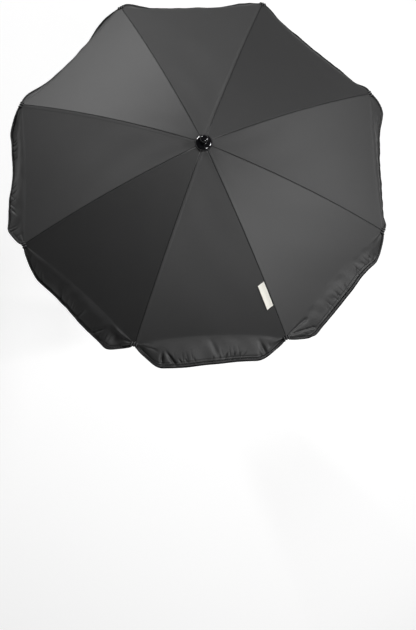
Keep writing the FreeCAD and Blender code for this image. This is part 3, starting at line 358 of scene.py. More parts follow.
def placed(n, g, side, t, q, v, d):
    """Cloth points with their wrinkles."""
    down_t = gore(g, t + STEP, q, v) - gore(g, t - STEP, q, v)
    down_q = gore(g, t, q + STEP, v) - gore(g, t, q - STEP, v)
    down = np.where((q > 0)[..., None], down_q, down_t)
    across = gore(g, t, q, np.clip(v + STEP, -1, 1)) - gore(g, t, q, np.clip(v - STEP, -1, 1))
    h = wrinkle(g, t, q, v) + seam(n, t, q, d, side)
    return gore(g, t, q, v) + unit(np.cross(down, across)) * h[..., None]


def half_sheet(n, side):
    """The points of one half of rib n's cloth, from the seam out to just past the middle of the panel."""
    g = n if side < 0 else (n + 1) % PANELS
    d, width = columns(T)
    beyond = 2 * d[:, -1:] - d[:, -2:-1]
    d = np.concatenate([d, beyond], 1)
    v = -side * (1 - d / width[:, None])
    t = np.repeat(T[:, None], d.shape[1], 1)
    q = np.repeat(Q[:, None], d.shape[1], 1)
    return placed(n, g, side, t, q, v, d)


def normals_of(points):
    """Grid normals that point up and out."""
    return unit(np.cross(np.gradient(points, axis=0), np.gradient(points, axis=1)))


def sector(n):
    """Rib n's whole cloth as a grid of points and normals, from one panel's middle to the next one's."""
    left, right = half_sheet(n, -1), half_sheet(n, 1)
    points = np.concatenate([left[:, ::-1], right[:, 1:]], 1)
    normal = normals_of(points)
    return points[:, 1:-1], normal[:, 1:-1]


# Meshes from grids and rings of points
def mesh_object(name, verts, faces, maps=(), loop_normals=None):
    """A mesh from its points and faces, with any maps as pairs of a name and two numbers for each point."""
    mesh = bpy.data.meshes.new(name)
    mesh.from_pydata([tuple(p) for p in verts], [], [tuple(f) for f in faces])
    for label, values in maps:
        layer = mesh.uv_layers.new(name=label)
        index = np.array([i for f in faces for i in f])
        layer.data.foreach_set("uv", np.asarray(values, np.float32)[index].ravel())
    mesh.update()
    mesh.polygons.foreach_set("use_smooth", np.ones(len(mesh.polygons), bool))
    if loop_normals is not None:
        mesh.normals_split_custom_set([tuple(x) for x in loop_normals])
    obj = bpy.data.objects.new(name, mesh)
    bpy.context.scene.collection.objects.link(obj)
    return obj


def grid_faces(rows, cols, start=0, flip=False):
    """The faces between the points of a grid."""
    i = np.arange(rows - 1)[:, None] * cols + np.arange(cols - 1)[None] + start
    quads = np.stack([i, i + cols, i + cols + 1, i + 1], -1).reshape(-1, 4)
    return quads[:, ::-1] if flip else quads


def tube_faces(first, rings, sides):
    """The faces of a closed tube from rings of points, with an end face at each end."""
    faces = []
    for k in range(rings - 1):
        here, after = first + k * sides, first + (k + 1) * sides
        for a in range(sides):
            b = (a + 1) % sides
            faces.append([here + a, here + b, after + b, after + a])
    faces.append([first + a for a in range(sides)][::-1])
    faces.append([first + (rings - 1) * sides + a for a in range(sides)])
    return faces


def shell(name, points, normal, maps, thickness):
    """A closed thin sheet from a grid: its outer face, its inner face and its rim."""
    rows, cols = points.shape[:2]
    count = rows * cols
    verts = np.concatenate([points.reshape(-1, 3), (points - normal * thickness).reshape(-1, 3)])
    outer = grid_faces(rows, cols)
    inner = grid_faces(rows, cols, count, True)
    ring = np.concatenate([
        np.arange(cols), np.arange(1, rows) * cols + cols - 1,
        (rows - 1) * cols + np.arange(cols - 2, -1, -1), np.arange(rows - 2, 0, -1) * cols])
    after = np.roll(ring, -1)
    rim = np.stack([ring, after, after + count, ring + count], -1)
    faces = np.concatenate([outer, inner, rim])
    flat = normal.reshape(-1, 3)
    corner = verts[rim]
    facing = np.cross(corner[:, 1] - corner[:, 0], corner[:, 3] - corner[:, 0])
    facing /= np.maximum(np.linalg.norm(facing, axis=1, keepdims=True), TINY)
    loops = np.concatenate([
        flat[outer].reshape(-1, 3), -flat[inner - count].reshape(-1, 3), np.repeat(facing, 4, 0)])
    maps = [(label, np.tile(values.reshape(-1, 2), (2, 1))) for label, values in maps]
    return mesh_object(name, verts, faces.tolist(), maps, loops)


def distances(points):
    """How far each point of a line, or of each column of a grid, is from its first one."""
    step = np.linalg.norm(np.diff(points, axis=0), axis=-1)
    return np.concatenate([np.zeros((1, *step.shape[1:])), np.cumsum(step, 0)])


def along_columns(points):
    """The distance of each grid point from the hem, down its column."""
    run = distances(points)
    return run[-1:] - run


def at_distance(grid, run, e):
    """Each column's value at a distance e from the hem."""
    out = np.empty(grid.shape[1:])
    for j in range(grid.shape[1]):
        for k in range(grid.shape[2]):
            out[j, k] = np.interp(e, run[::-1, j], grid[::-1, j, k])
    return out


# Hem tape: its gap to the cloth, its swell outside and inside, that swell's lean and its lip past the hem
TAPE_GAP, TAPE_OUTER, TAPE_INNER, TAPE_LEAN, TAPE_LIP = 0.0001, 0.0013, 0.0009, 0.8, 0.0005
TAPE_POINTS, HEM_STEP = 9, 0.001


def binding(name, points, normal, hem_run):
    """A folded tape round the hem, from middle line to middle line."""
    across = np.linspace(1, 0, TAPE_POINTS)
    swell = np.sin(math.pi * across**TAPE_LEAN)
    section = list(zip(TAPE * across, TAPE_GAP + TAPE_OUTER * swell))
    section += list(zip(TAPE * across, -CLOTH - TAPE_GAP - TAPE_INNER * swell))[::-1]
    rings, maps = [], []
    for e, lift in section:
        p, m = at_distance(points, hem_run, e), at_distance(normal, hem_run, e)
        if e == 0:
            p = p - unit(at_distance(points, hem_run, HEM_STEP) - p) * TAPE_LIP
        rings.append(p + unit(m) * lift)
        # The tape map's place across the tape carries the hem tape's painted shade and painted highlight
        maps.append(np.stack([np.full(len(p), e / TAPE), distances(p)], -1))
    rings, maps = np.array(rings), np.array(maps)
    sides, cols = rings.shape[:2]
    i = np.arange(sides)[:, None] * cols + np.arange(cols - 1)[None]
    nxt = (np.arange(sides)[:, None] + 1) % sides * cols + np.arange(cols - 1)[None]
    faces = np.stack([i, nxt, nxt + 1, i + 1], -1).reshape(-1, 4).tolist()
    faces.append([k * cols for k in range(sides)][::-1])
    faces.append([k * cols + cols - 1 for k in range(sides)])
    return mesh_object(name, rings.reshape(-1, 3), faces, [("tape", maps.reshape(-1, 2))])


# A stitch has four rings: their places along it, their sizes, and their lift in thicknesses
STITCH_SHARES = np.array([0, 0.2, 0.8, 1])
STITCH_SIZES, STITCH_LIFTS = (0.35, 1, 1, 0.35), (-0.3, 0.4, 0.4, -0.3)
STITCH_SIDES, STITCH_FLATNESS = 6, 0.8

# Stitching beside the seam, STITCH_COLUMN columns off, and along the hem: pitch, length and thickness
SEAM_STITCH, STITCH_COLUMN, FIRST_ROW = (0.0034, 0.0024, 0.00022), 3, 6
HEM_STITCH, HEM_STITCH_PLACE, HEM_STITCH_LIFT = (0.0030, 0.0024, 0.00026), 0.0050, 0.0007


def stitches(name, lines, pitch, length, thick):
    """Short raised threads along lines, each with its points and their normals."""
    verts, faces = [], []
    for points, normal in lines:
        run = distances(points)
        for start in np.arange(pitch / 2, run[-1] - length, pitch):
            where = start + length * STITCH_SHARES
            p = np.stack([np.interp(where, run, points[:, k]) for k in range(3)], 1)
            m = unit(np.stack([np.interp(where, run, normal[:, k]) for k in range(3)], 1))
            side = unit(np.cross(m, p[-1] - p[0]))
            faces += tube_faces(len(verts), len(STITCH_SHARES), STITCH_SIDES)
            for k, (size, lift) in enumerate(zip(STITCH_SIZES, STITCH_LIFTS)):
                for a in np.arange(STITCH_SIDES) * 2 * math.pi / STITCH_SIDES:
                    off = side[k] * math.cos(a) + m[k] * math.sin(a) * STITCH_FLATNESS
                    verts.append(p[k] + off * thick * size + m[k] * thick * lift)
    return mesh_object(name, verts, faces)


def seam_stitching(name, points, normal):
    """Two rows of stitches, one to each side of the seam."""
    middle = points.shape[1] // 2
    rows = slice(FIRST_ROW, len(ROWS) - 1)
    lines = [(points[rows, column], normal[rows, column])
             for column in (middle + STITCH_COLUMN, middle - STITCH_COLUMN)]
    return stitches(name, lines, *SEAM_STITCH)


def hem_stitching(name, points, normal, hem_run):
    """A row of stitches along the hem tape."""
    up = unit(at_distance(normal, hem_run, HEM_STITCH_PLACE))
    line = at_distance(points, hem_run, HEM_STITCH_PLACE) + up * HEM_STITCH_LIFT
    return stitches(name, [(line, up)], *HEM_STITCH)


# Thread ties on a rib: their places, the loops of each and their pitch, how far below the cloth a loop's
# middle is, half its width and height, its points and how round it is; its thread's sides, swell and half
# thickness
TIE_PLACES, TIE_LOOPS, TIE_PITCH, TIE_DROP = (0.085, 0.235, 0.315), 3, 0.0011, 0.0027
TIE_HALF_WIDTH, TIE_HALF_HEIGHT, TIE_POINTS, TIE_ROUNDNESS = 0.0022, 0.0021, 20, 0.6
THREAD_SIDES, THREAD_SWELL, THREAD_HALF = 5, 0.16, 0.0004


def rounded(x):
    """A sine or cosine pushed out towards a square's side."""
    return math.copysign(abs(x) ** TIE_ROUNDNESS, x)


def rib_ties(name, n):
    """Thread loops that tie the seam to its rib from below."""
    verts, faces = [], []
    for place in TIE_PLACES:
        slope = math.atan(dome_fall(place))
        up = np.array([math.sin(slope), 0, math.cos(slope)])
        for k in range(TIE_LOOPS):
            r = place + (k - (TIE_LOOPS - 1) / 2) * TIE_PITCH
            centre = np.array([r, 0, dome(r)]) - TIE_DROP * up
            first = len(verts)
            for a in np.arange(TIE_POINTS) * 2 * math.pi / TIE_POINTS:
                ring_y = rounded(math.cos(a)) * TIE_HALF_WIDTH
                ring_z = rounded(math.sin(a)) * TIE_HALF_HEIGHT
                for b in np.arange(THREAD_SIDES) * 2 * math.pi / THREAD_SIDES:
                    wide = 1 + THREAD_SWELL * math.cos(b)
                    off = np.array([THREAD_HALF * math.sin(b), ring_y * wide, 0])
                    verts.append(centre + up * ring_z * wide + off)
            for a in range(TIE_POINTS):
                here, after = [first + i % TIE_POINTS * THREAD_SIDES for i in (a, a + 1)]
                for b in range(THREAD_SIDES):
                    beside = (b + 1) % THREAD_SIDES
                    faces.append([here + b, after + b, after + beside, here + beside])
    return mesh_object(name, turned(*np.array(verts).T, (2 * n + 1) * HALF), faces)


# Tape wound round a rib's tip: its place in from the hem and the two places that give its direction, half
# its length, its ridges' pitch, half its width and height, how far it is sunk, its size between ridges and
# their rise, its size at its ends and their run, and how far it follows the hem's bend. WRAP_COLUMNS of the
# cloth to each side give that bend.
WRAP_PLACE, WRAP_FROM, WRAP_TO, WRAP_LENGTH, RIDGE_PITCH = 0.0020, 0.0010, 0.0050, 0.0066, 0.0042
WRAP_WIDTH, WRAP_HEIGHT, WRAP_SINK = 0.0046, 0.0028, 0.0002
WRAP_SIZE, RIDGE_RISE, WRAP_END, WRAP_END_RUN, WRAP_FOLLOW = 0.74, 0.42, 0.7, 0.0015, 0.4
WRAP_RINGS, WRAP_SIDES, WRAP_COLUMNS = 65, 16, 14


def tip_wrap(name, points, normal, hem_run, tangent):
    """The gathered hem tape that is wound round the rib's tip, with a ridge at each gather."""
    line, up = [at_distance(grid, hem_run, WRAP_PLACE) for grid in (points, normal)]
    inward = at_distance(points, hem_run, WRAP_TO) - at_distance(points, hem_run, WRAP_FROM)
    middle = len(line) // 2
    near = slice(middle - WRAP_COLUMNS, middle + WRAP_COLUMNS + 1)
    offset = line[near] - line[middle]
    place = np.linspace(-WRAP_LENGTH, WRAP_LENGTH, WRAP_RINGS)
    ridge = 0.5 + 0.5 * np.cos(2 * math.pi * place / RIDGE_PITCH)
    end = smooth((WRAP_LENGTH - np.abs(place)) / WRAP_END_RUN)
    size = (WRAP_SIZE + RIDGE_RISE * ridge) * (WRAP_END + (1 - WRAP_END) * end)
    bend = np.stack([np.interp(place, offset @ tangent, offset[:, k]) for k in range(3)], 1)
    along = place[:, None] * tangent
    core = line[middle] + along + WRAP_FOLLOW * (bend - along)
    up, inward = unit(up[near].mean(0)), unit(inward[near].mean(0))
    verts = []
    for centre, scale in zip(core, size):
        for a in np.arange(WRAP_SIDES) * 2 * math.pi / WRAP_SIDES:
            rise = math.sin(a) * WRAP_HEIGHT * scale - WRAP_SINK
            verts.append(centre + inward * math.cos(a) * WRAP_WIDTH * scale + up * rise)
    # The tape map holds each ridge's height, which the tip tape's painted shade and painted highlight
    # follow
    bands = np.stack([np.repeat(ridge, WRAP_SIDES), np.repeat(place, WRAP_SIDES)], -1)
    return mesh_object(name, verts, tube_faces(0, WRAP_RINGS, WRAP_SIDES), [("tape", bands)])


# Sewn label: its rib, counted from 0, its two long edges' distances from the seam, its ends along the seam
# and their slant, and its thickness. LABEL_OUT and LABEL_ASIDE are how far a step from the seam goes out
# from the apex and aside. The label lies LABEL_LIFT over the cloth and its free edge rises by LABEL_RISE.
# LABEL_BOW_SHARE of the fold line's bow is left so near to the rib, and the cloth under it is taken as it
# is at LABEL_CLEAR from the seam.
LABEL_RIB, LABEL_NEAR, LABEL_FAR = 6, 0.0012, 0.0138
LABEL_START, LABEL_END, LABEL_SLANT, LABEL_THICKNESS = 0.2492, 0.2902, 0.35, 0.0006
LABEL_OUT, LABEL_ASIDE, LABEL_BOW_SHARE, LABEL_CLEAR = 0.341, 0.937, 0.06, 0.02
LABEL_LIFT, LABEL_RISE, RISE_START, RISE_RUN = 0.0009, 0.0012, 0.006, 0.008
LABEL_ROWS, LABEL_COLUMNS = 30, 12


def label_tab(name, n):
    """The bare woven tab that is sewn into the seam over rib n, on the panel before it, with its ends a
    little aslant."""
    d = np.repeat(np.linspace(LABEL_NEAR, LABEL_FAR, LABEL_COLUMNS)[None], LABEL_ROWS, 0)
    s = np.linspace(LABEL_START, LABEL_END, LABEL_ROWS)[:, None] + LABEL_SLANT * (d - LABEL_NEAR)
    r = s + LABEL_OUT * d
    v = (s * math.sin(HALF) - LABEL_ASIDE * d) / (r * math.sin(HALF))
    t = (r - HOLE) / (EDGE - BOW[n] * LABEL_BOW_SHARE - HOLE)
    points = placed(n, n, -1, t, np.zeros_like(t), v, np.full_like(d, LABEL_CLEAR))
    points, d, s = points[:, ::-1], d[:, ::-1], s[:, ::-1]
    lift = LABEL_LIFT + LABEL_RISE * smooth((d - RISE_START) / RISE_RUN)
    points = points + normals_of(points) * lift[..., None]
    maps = [("cloth", np.stack([d, s], -1)), ("hem", np.ones((LABEL_ROWS, LABEL_COLUMNS, 2)))]
    return shell(name, points, normals_of(points), maps, LABEL_THICKNESS)


# Materials
def material(name, colour, rough, metal=0.0, **values):
    """A plain material, with its nodes, links and shader."""
    made = bpy.data.materials.new(name)
    made.use_nodes = True
    shader = made.node_tree.nodes["Principled BSDF"]
    shader.inputs["Base Color"].default_value = (*colour, 1)
    shader.inputs["Roughness"].default_value = rough
    shader.inputs["Metallic"].default_value = metal
    for key, value in values.items():
        shader.inputs[key.replace("_", " ")].default_value = value
    return made, made.node_tree.nodes, made.node_tree.links, shader


def add(nodes, kind, **values):
    """A new node with its inputs or settings."""
    node = nodes.new(kind)
    for key, value in values.items():
        if key in node.inputs:
            node.inputs[key].default_value = value
        else:
            setattr(node, key, value)
    return node


def combined(nodes, links, operation, *values):
    """The outcome of one operation on sockets or numbers."""
    node = add(nodes, "ShaderNodeMath", operation=operation)
    for socket, value in zip(node.inputs, values):
        if isinstance(value, bpy.types.NodeSocket):
            links.new(value, socket)
        else:
            socket.default_value = value
    return node.outputs[0]


def remapped(nodes, links, value, before, after, kind="LINEAR"):
    """A value brought from one pair of limits to another."""
    node = add(nodes, "ShaderNodeMapRange", interpolation_type=kind)
    for socket, limit in zip(("From Min", "From Max", "To Min", "To Max"), (*before, *after)):
        node.inputs[socket].default_value = limit
    links.new(value, node.inputs["Value"])
    return node.outputs["Result"]


def part_of(nodes, links, vector, axis):
    """One part of a vector."""
    node = add(nodes, "ShaderNodeSeparateXYZ")
    links.new(vector, node.inputs[0])
    return node.outputs[axis]


def pattern(nodes, links, kind, place, **values):
    """A texture's strength at a place."""
    node = add(nodes, kind, **values)
    links.new(place, node.inputs["Vector"])
    return node.outputs["Fac"]


def bands(nodes, links, place, pitch, axis):
    """Waves that repeat once in each pitch."""
    scale = math.pi / (10 * pitch)
    return pattern(nodes, links, "ShaderNodeTexWave", place, Scale=scale, bands_direction=axis)


def tones(nodes, links, colour, amount, value, ends=(0, 1)):
    """A colour that goes from a little darker to a little lighter between two values."""
    ramp = add(nodes, "ShaderNodeValToRGB")
    for element, end, level in zip(ramp.color_ramp.elements, ends, (1 - amount, 1 + amount)):
        element.position = end
        element.color = (*[min(1, c * level) for c in colour], 1)
    links.new(value, ramp.inputs["Fac"])
    return ramp.outputs["Color"]


def shade(nodes, links, shader, colour, level):
    """Give a shader a colour times a level."""
    node = add(nodes, "ShaderNodeVectorMath", operation="SCALE")
    links.new(colour, node.inputs[0])
    links.new(level, node.inputs["Scale"])
    links.new(node.outputs["Vector"], shader.inputs["Base Color"])


def emboss(nodes, links, shader, height, strength, distance):
    """Give a shader a relief."""
    node = add(nodes, "ShaderNodeBump", Strength=strength, Distance=distance)
    links.new(height, node.inputs["Height"])
    links.new(node.outputs["Normal"], shader.inputs["Normal"])


# How far roughness drifts, and how much finer the grain is than the mottling
ROUGH_DRIFT, GRAIN = 0.15, 14


def mottled(name, colour, rough, scale, amount, bump, distance, metal=0.0, **values):
    """A plain finish whose tone and roughness drift a little, with a fine grain."""
    made, nodes, links, shader = material(name, colour, rough, metal, **values)
    place = add(nodes, "ShaderNodeTexCoord").outputs["Object"]
    cloud = pattern(nodes, links, "ShaderNodeTexNoise", place, Scale=scale, Detail=4.0)
    links.new(tones(nodes, links, colour, amount, cloud), shader.inputs["Base Color"])
    limits = (rough * (1 - ROUGH_DRIFT), min(1, rough * (1 + ROUGH_DRIFT)))
    links.new(remapped(nodes, links, cloud, (0, 1), limits), shader.inputs["Roughness"])
    grain = pattern(nodes, links, "ShaderNodeTexNoise", place, Scale=scale * GRAIN, Detail=2.0)
    emboss(nodes, links, shader, grain, bump, distance)
    return made


# Cloth: the scale of its clouds, its slubs along and across the threads, the values between which its tone
# changes, the relief of its weave, and the distances from the seam and from the hem over which its painted
# shade fades out
CLOUD_SCALE, SLUB_SCALE, TONE_ENDS, WEAVE_RELIEF = 34.0, (700, 40, 1), (0.3, 0.75), 0.0002
SEAM_PAINTED_SHADE, HEM_PAINTED_SHADE = (0.0003, 0.0016), (TAPE + 0.0008, TAPE + 0.0024)


def woven(name, colour, rough, pitch, bump, amount, painted_shade_tone=1.0, **values):
    """A plain weave in the cloth's own directions, with slubs and slow changes of tone. Painted shade
    darkens it along its seam and beside the hem's tape, where the grooves there would be shaded."""
    made, nodes, links, shader = material(name, colour, rough, **values)
    place = add(nodes, "ShaderNodeUVMap", uv_map="cloth").outputs["UV"]
    hem = add(nodes, "ShaderNodeUVMap", uv_map="hem").outputs["UV"]
    cloud = pattern(nodes, links, "ShaderNodeTexNoise", place, Scale=CLOUD_SCALE, Detail=5.0)
    stretch = add(nodes, "ShaderNodeMapping", Scale=SLUB_SCALE)
    links.new(place, stretch.inputs["Vector"])
    slub = pattern(nodes, links, "ShaderNodeTexNoise", stretch.outputs["Vector"], Scale=1.0, Detail=2.0)
    mean = combined(nodes, links, "MULTIPLY", combined(nodes, links, "ADD", cloud, slub), 0.5)
    tone = tones(nodes, links, colour, amount, mean, TONE_ENDS)
    off = combined(nodes, links, "ABSOLUTE", part_of(nodes, links, place, "X"))
    # Painted shade: darker along the seam and beside the hem's tape, standing in for the shade of their
    # grooves
    painted_seam_shade = remapped(nodes, links, off, SEAM_PAINTED_SHADE, (painted_shade_tone, 1.0), "SMOOTHSTEP")
    painted_hem_shade = remapped(
        nodes, links, part_of(nodes, links, hem, "X"), HEM_PAINTED_SHADE, (painted_shade_tone, 1.0), "SMOOTHSTEP")
    shade(nodes, links, shader, tone, combined(nodes, links, "MINIMUM", painted_seam_shade, painted_hem_shade))
    warp, weft = [bands(nodes, links, place, pitch, axis) for axis in "XY"]
    emboss(nodes, links, shader, combined(nodes, links, "MULTIPLY", warp, weft), bump, WEAVE_RELIEF)
    return made


# A tape's mottling and its specular level, the pitch of its ribs and how they lift its tone. The levels of
# its painted light pass 1, so they are kept at half.
TAPE_MOTTLING, TAPE_SPECULAR = (300, 0.15, 0.2, 0.0002), 0.15
TAPE_RIB_PITCH, TAPE_RIB_TONES, HALF_LEVEL = 0.0008, (1.7, 2.3), 0.5


def banded(name, colour, rough, painted_levels):
    """A ribbed tape with painted light across it, by pairs of a place and a level: painted shade where it
    would be shaded and a painted highlight where it would catch light.
    """
    made = mottled(name, colour, rough, *TAPE_MOTTLING, Specular_IOR_Level=TAPE_SPECULAR)
    nodes, links = made.node_tree.nodes, made.node_tree.links
    shader = nodes["Principled BSDF"]
    place = add(nodes, "ShaderNodeUVMap", uv_map="tape").outputs["UV"]
    # Painted light across the tape: darker where shade falls, lighter where light falls
    ramp = add(nodes, "ShaderNodeValToRGB")
    while len(ramp.color_ramp.elements) < len(painted_levels):
        ramp.color_ramp.elements.new(0.5)
    for element, (where, level) in zip(ramp.color_ramp.elements, painted_levels):
        element.position = where
        element.color = (*[level * HALF_LEVEL] * 3, 1)
    links.new(part_of(nodes, links, place, "X"), ramp.inputs["Fac"])
    ribs = bands(nodes, links, place, TAPE_RIB_PITCH, "Y")
    lift = remapped(nodes, links, ribs, (0, 1), TAPE_RIB_TONES)
    tone = shader.inputs["Base Color"].links[0].from_socket
    shade(nodes, links, shader, tone, combined(nodes, links, "MULTIPLY", ramp.outputs["Color"], lift))
    return made


# Cloth: colour, roughness, pitch of the weave, its relief, change of tone and the tone of its painted shade
# beside a seam and the hem's tape
CANOPY = woven(
    "canopy_cloth", (0.012, 0.012, 0.0122), 0.61, 0.0006, 0.22, 0.10, 0.3, Specular_IOR_Level=0.69)
# The seam cloth is darker and less glossy: painted shade of the seam's groove, laid on a strip of faces
# over each seam
SEAM = woven("seam_painted_shade_cloth", (0.008, 0.008, 0.0082), 0.75, 0.0006, 0.22, 0.10, Specular_IOR_Level=0.33)
LABEL = woven("label_cloth", (0.93, 0.91, 0.83), 0.7, 0.0005, 0.3, 0.05)

# Tape: colour, roughness and its levels of painted shade and painted highlight, from the hem inwards or
# from between the ridges up
# Painted shade at the hem tape's outer edge and at its inner groove, and a painted highlight along its
# rounded middle
BINDING = banded(
    "hem_tape", (0.026, 0.026, 0.0265), 0.45, [(0, 0.1), (0.25, 0.15), (0.5, 1.9), (0.75, 0.2), (1, 0.08)])
# Painted shade between the tip tape's ridges and a painted highlight on their crests
WRAP = banded("tip_tape", (0.042, 0.042, 0.043), 0.45, [(0, 0.08), (0.4, 0.5), (1, 1.9)])

# Other finishes: colour, roughness, the mottling's scale and amount, the grain's strength and depth, metal
THREAD = mottled("thread", (0.010, 0.010, 0.0105), 0.6, 400, 0.15, 0.1, 0.0001)
HEM_THREAD = mottled("hem_thread", (0.06, 0.06, 0.062), 0.5, 400, 0.15, 0.1, 0.0001)
FINISHES = {
    "rib_steel": ((0.50, 0.51, 0.53), 0.34, 90, 0.12, 0.08, 0.0002, 1.0),
    "steel": ((0.56, 0.57, 0.59), 0.3, 120, 0.10, 0.06, 0.0002, 1.0),
    "shaft_metal": ((0.66, 0.67, 0.69), 0.3, 60, 0.06, 0.05, 0.0002, 1.0),
    "black_plastic": ((0.017, 0.017, 0.018), 0.5, 160, 0.2, 0.25, 0.0003),
    "grey_plastic": ((0.13, 0.13, 0.135), 0.5, 160, 0.1, 0.15, 0.0003),
    "gloss_black": ((0.006, 0.006, 0.007), 0.1, 60, 0.2, 0.01, 0.0002),
    "rubber": ((0.016, 0.016, 0.016), 0.75, 220, 0.2, 0.3, 0.0003),
}
COATS = {"gloss_black": {"Coat_Weight": 0.6, "Coat_Roughness": 0.05}}
SLOTS = {"label": LABEL, "canopy_cloth": CANOPY}
for name, values in FINISHES.items():
    SLOTS[name] = mottled(name, *values, **COATS.get(name, {}))
for part in frame["record"]["subparts"]:
    node = frame["nodes"][part["node"]]
    node.data.materials.clear()
    node.data.materials.append(SLOTS[part["material_slot"]])

# The canopy, one piece of cloth for each rib, and how many columns of faces to each side of its seam take
# the seam cloth
SEAM_COLUMNS = 2


def cloth_piece(name, points, normal, run):
    """One rib's cloth. Its maps hold the distances from the seam, from its top and from the hem."""
    rows, cols = points.shape[:2]
    middle = cols // 2
    wide = distances(points.swapaxes(0, 1)).T
    wide = wide - wide[:, middle:middle + 1]
    maps = [("cloth", np.stack([wide, run[:1] - run], -1)), ("hem", np.stack([run, run], -1))]
    cloth = shell(name, points, normal, maps, CLOTH)
    cloth.data.materials.append(CANOPY)
    cloth.data.materials.append(SEAM)
    # The faces over the seam take the seam cloth, whose darker colour is painted shade
    painted_shade_strip = np.zeros((rows - 1, cols - 1), np.int32)
    painted_shade_strip[:, middle - SEAM_COLUMNS:middle + SEAM_COLUMNS] = 1
    slots = np.zeros(len(cloth.data.polygons), np.int32)
    slots[:painted_shade_strip.size] = painted_shade_strip.ravel()
    cloth.data.polygons.foreach_set("material_index", slots)
    return cloth


for n in range(PANELS):
    body = f"rib_{n + 1}"
    angle = (2 * n + 1) * HALF
    tangent = (-math.sin(angle), math.cos(angle), 0)
    points, normal = sector(n)
    run = along_columns(points)
    cloth = cloth_piece(f"cloth_{n + 1}", points, normal, run)
    hem = binding(f"hem_{n + 1}", points, normal, run)
    thread = seam_stitching(f"stitching_{n + 1}", points, normal)
    hem_thread = hem_stitching(f"hem_stitching_{n + 1}", points, normal, run)
    wrap = tip_wrap(f"tip_wrap_{n + 1}", points, normal, run, np.array(tangent))
    ties = rib_ties(f"ties_{n + 1}", n)
    looks = [(hem, BINDING), (thread, THREAD), (hem_thread, HEM_THREAD), (wrap, WRAP), (ties, THREAD)]
    extra = [hem, thread, hem_thread]
    if n == LABEL_RIB:
        tab = label_tab("label", n)
        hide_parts("sewn_label")
        looks.append((tab, LABEL))
        extra.append(tab)
    for piece, finish in looks:
        piece.data.materials.append(finish)
    for piece in [cloth, ties, wrap, *extra]:
        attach(piece, body)
        if piece not in (ties, wrap):
            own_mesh(piece)
    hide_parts(f"canopy_cloth_{n + 1}")

# Stage: the floor's half size and height, its tone and roughness, its glow close by and further out, and
# the two distances between which that grows; the heights between which the white walls end for gloss; and
# the even light
FLOOR_HALF, FLOOR_Z, FLOOR_TONE, FLOOR_ROUGH = 8, -0.5, 0.88, 0.8
FLOOR_GLOW, FLOOR_WHITE, FLOOR_RUN = 0.36, 0.97, (1.2, 5.0)
WALL_END, EVEN_LIGHT = (-0.05, 0.06), 0.008


def pale_floor(name):
    """A white floor that keeps shadows, lifted towards white for what looks at it. For the camera and
    through glass it is fully white further out. It is see-through from below."""
    made, nodes, links, shader = material(name, [FLOOR_TONE] * 3, FLOOR_ROUGH)
    seen = add(nodes, "ShaderNodeLightPath").outputs
    place = add(nodes, "ShaderNodeTexCoord").outputs["Object"]
    reach = add(nodes, "ShaderNodeVectorMath", operation="LENGTH")
    links.new(place, reach.inputs[0])
    level = remapped(
        nodes, links, reach.outputs["Value"], FLOOR_RUN, (FLOOR_GLOW, FLOOR_WHITE), "SMOOTHSTEP")
    sight = combined(nodes, links, "MAXIMUM", seen["Is Camera Ray"], seen["Is Transmission Ray"])
    sight = combined(nodes, links, "MULTIPLY", sight, level)
    gloss = combined(nodes, links, "MULTIPLY", seen["Is Glossy Ray"], FLOOR_GLOW)
    shader.inputs["Emission Color"].default_value = (1, 1, 1, 1)
    links.new(combined(nodes, links, "MAXIMUM", sight, gloss), shader.inputs["Emission Strength"])
    side = add(nodes, "ShaderNodeNewGeometry")
    clear = add(nodes, "ShaderNodeBsdfTransparent")
    either = add(nodes, "ShaderNodeMixShader")
    links.new(side.outputs["Backfacing"], either.inputs[0])
    links.new(shader.outputs[0], either.inputs[1])
    links.new(clear.outputs[0], either.inputs[2])
    links.new(either.outputs[0], nodes["Material Output"].inputs["Surface"])
    return made


def white_walls(backdrop):
    """White for what looks at the world: all round for the camera and through glass, and for gloss up to a
    low wall's height. The rest gets a little even light."""
    nodes, links = backdrop.node_tree.nodes, backdrop.node_tree.links
    seen = add(nodes, "ShaderNodeLightPath").outputs
    place = add(nodes, "ShaderNodeTexCoord").outputs["Generated"]
    wall = remapped(nodes, links, part_of(nodes, links, place, "Z"), WALL_END, (1.0, 0.0), "SMOOTHSTEP")
    level = combined(nodes, links, "MULTIPLY", seen["Is Glossy Ray"], wall)
    for other in (seen["Is Camera Ray"], seen["Is Transmission Ray"], EVEN_LIGHT):
        level = combined(nodes, links, "MAXIMUM", level, other)
    nodes["Background"].inputs["Color"].default_value = (1, 1, 1, 1)
    links.new(level, nodes["Background"].inputs["Strength"])


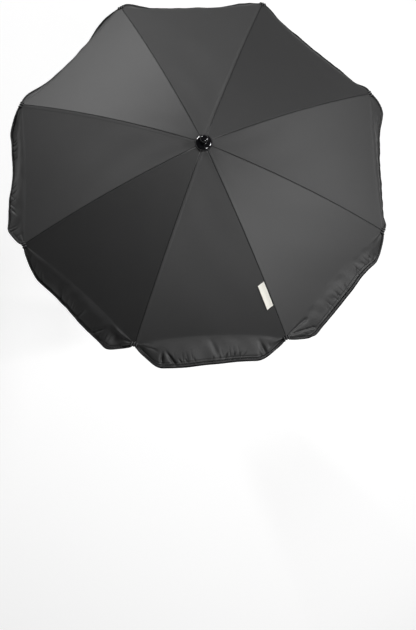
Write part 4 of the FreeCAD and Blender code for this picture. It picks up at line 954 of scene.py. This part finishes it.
corners = [(-1, -1), (1, -1), (1, 1), (-1, 1)]
floor_mesh = bpy.data.meshes.new("floor")
floor_mesh.from_pydata([(FLOOR_HALF * x, FLOOR_HALF * y, FLOOR_Z) for x, y in corners], [], [(0, 1, 2, 3)])
floor = bpy.data.objects.new("floor", floor_mesh)
bpy.context.scene.collection.objects.link(floor)
floor.data.materials.append(pale_floor("floor"))

world = bpy.data.worlds.new("studio")
bpy.context.scene.world = world
world.use_nodes = True
white_walls(world)

# Softboxes: bearing and height in degrees, size and power, all at one distance from the place they aim at
SOFTBOXES = {
    "key": (120, 26.5, (0.8, 0.6), 41),
    "second": (2.5, 41, (0.6, 0.45), 37),
    "third": (-52, 56, (0.6, 0.45), 19),
}
LAMP_DISTANCE, AIM_DROP = 2.2, 0.05
for name, (bearing, height, size, power) in SOFTBOXES.items():
    a, e = math.radians(bearing), math.radians(height)
    way = Vector((math.cos(a) * math.cos(e), math.sin(a) * math.cos(e), math.sin(e)))
    light = bpy.data.lights.new(name, "AREA")
    light.shape = "RECTANGLE"
    light.size, light.size_y = size
    light.energy = power
    lamp = bpy.data.objects.new(name, light)
    lamp.location = Vector((0, 0, APEX - AIM_DROP)) + way * LAMP_DISTANCE
    lamp.rotation_euler = way.to_track_quat("Z", "Y").to_euler()
    bpy.context.scene.collection.objects.link(lamp)

# Camera: the frame's height and the focal length in pixels, the sensor in millimetres, its place and turn
FRAME_HEIGHT, FOCAL_PIXELS, SENSOR = 630, 1100, 36
EYE = Vector((-0.11002, -0.70108, APEX + 1.75945))
EYE_TURN = Euler([math.radians(a) for a in (12.9471, -2.5879, -3.0699)])
camera = bpy.data.cameras.new("camera")
camera.lens = FOCAL_PIXELS * SENSOR / FRAME_HEIGHT
camera.sensor_width = SENSOR
eye = bpy.data.objects.new("camera", camera)
eye.matrix_world = Matrix.LocRotScale(EYE, EYE_TURN, None)
bpy.context.scene.collection.objects.link(eye)
bpy.context.scene.camera = eye
bpy.context.scene.view_settings.view_transform = "Standard"
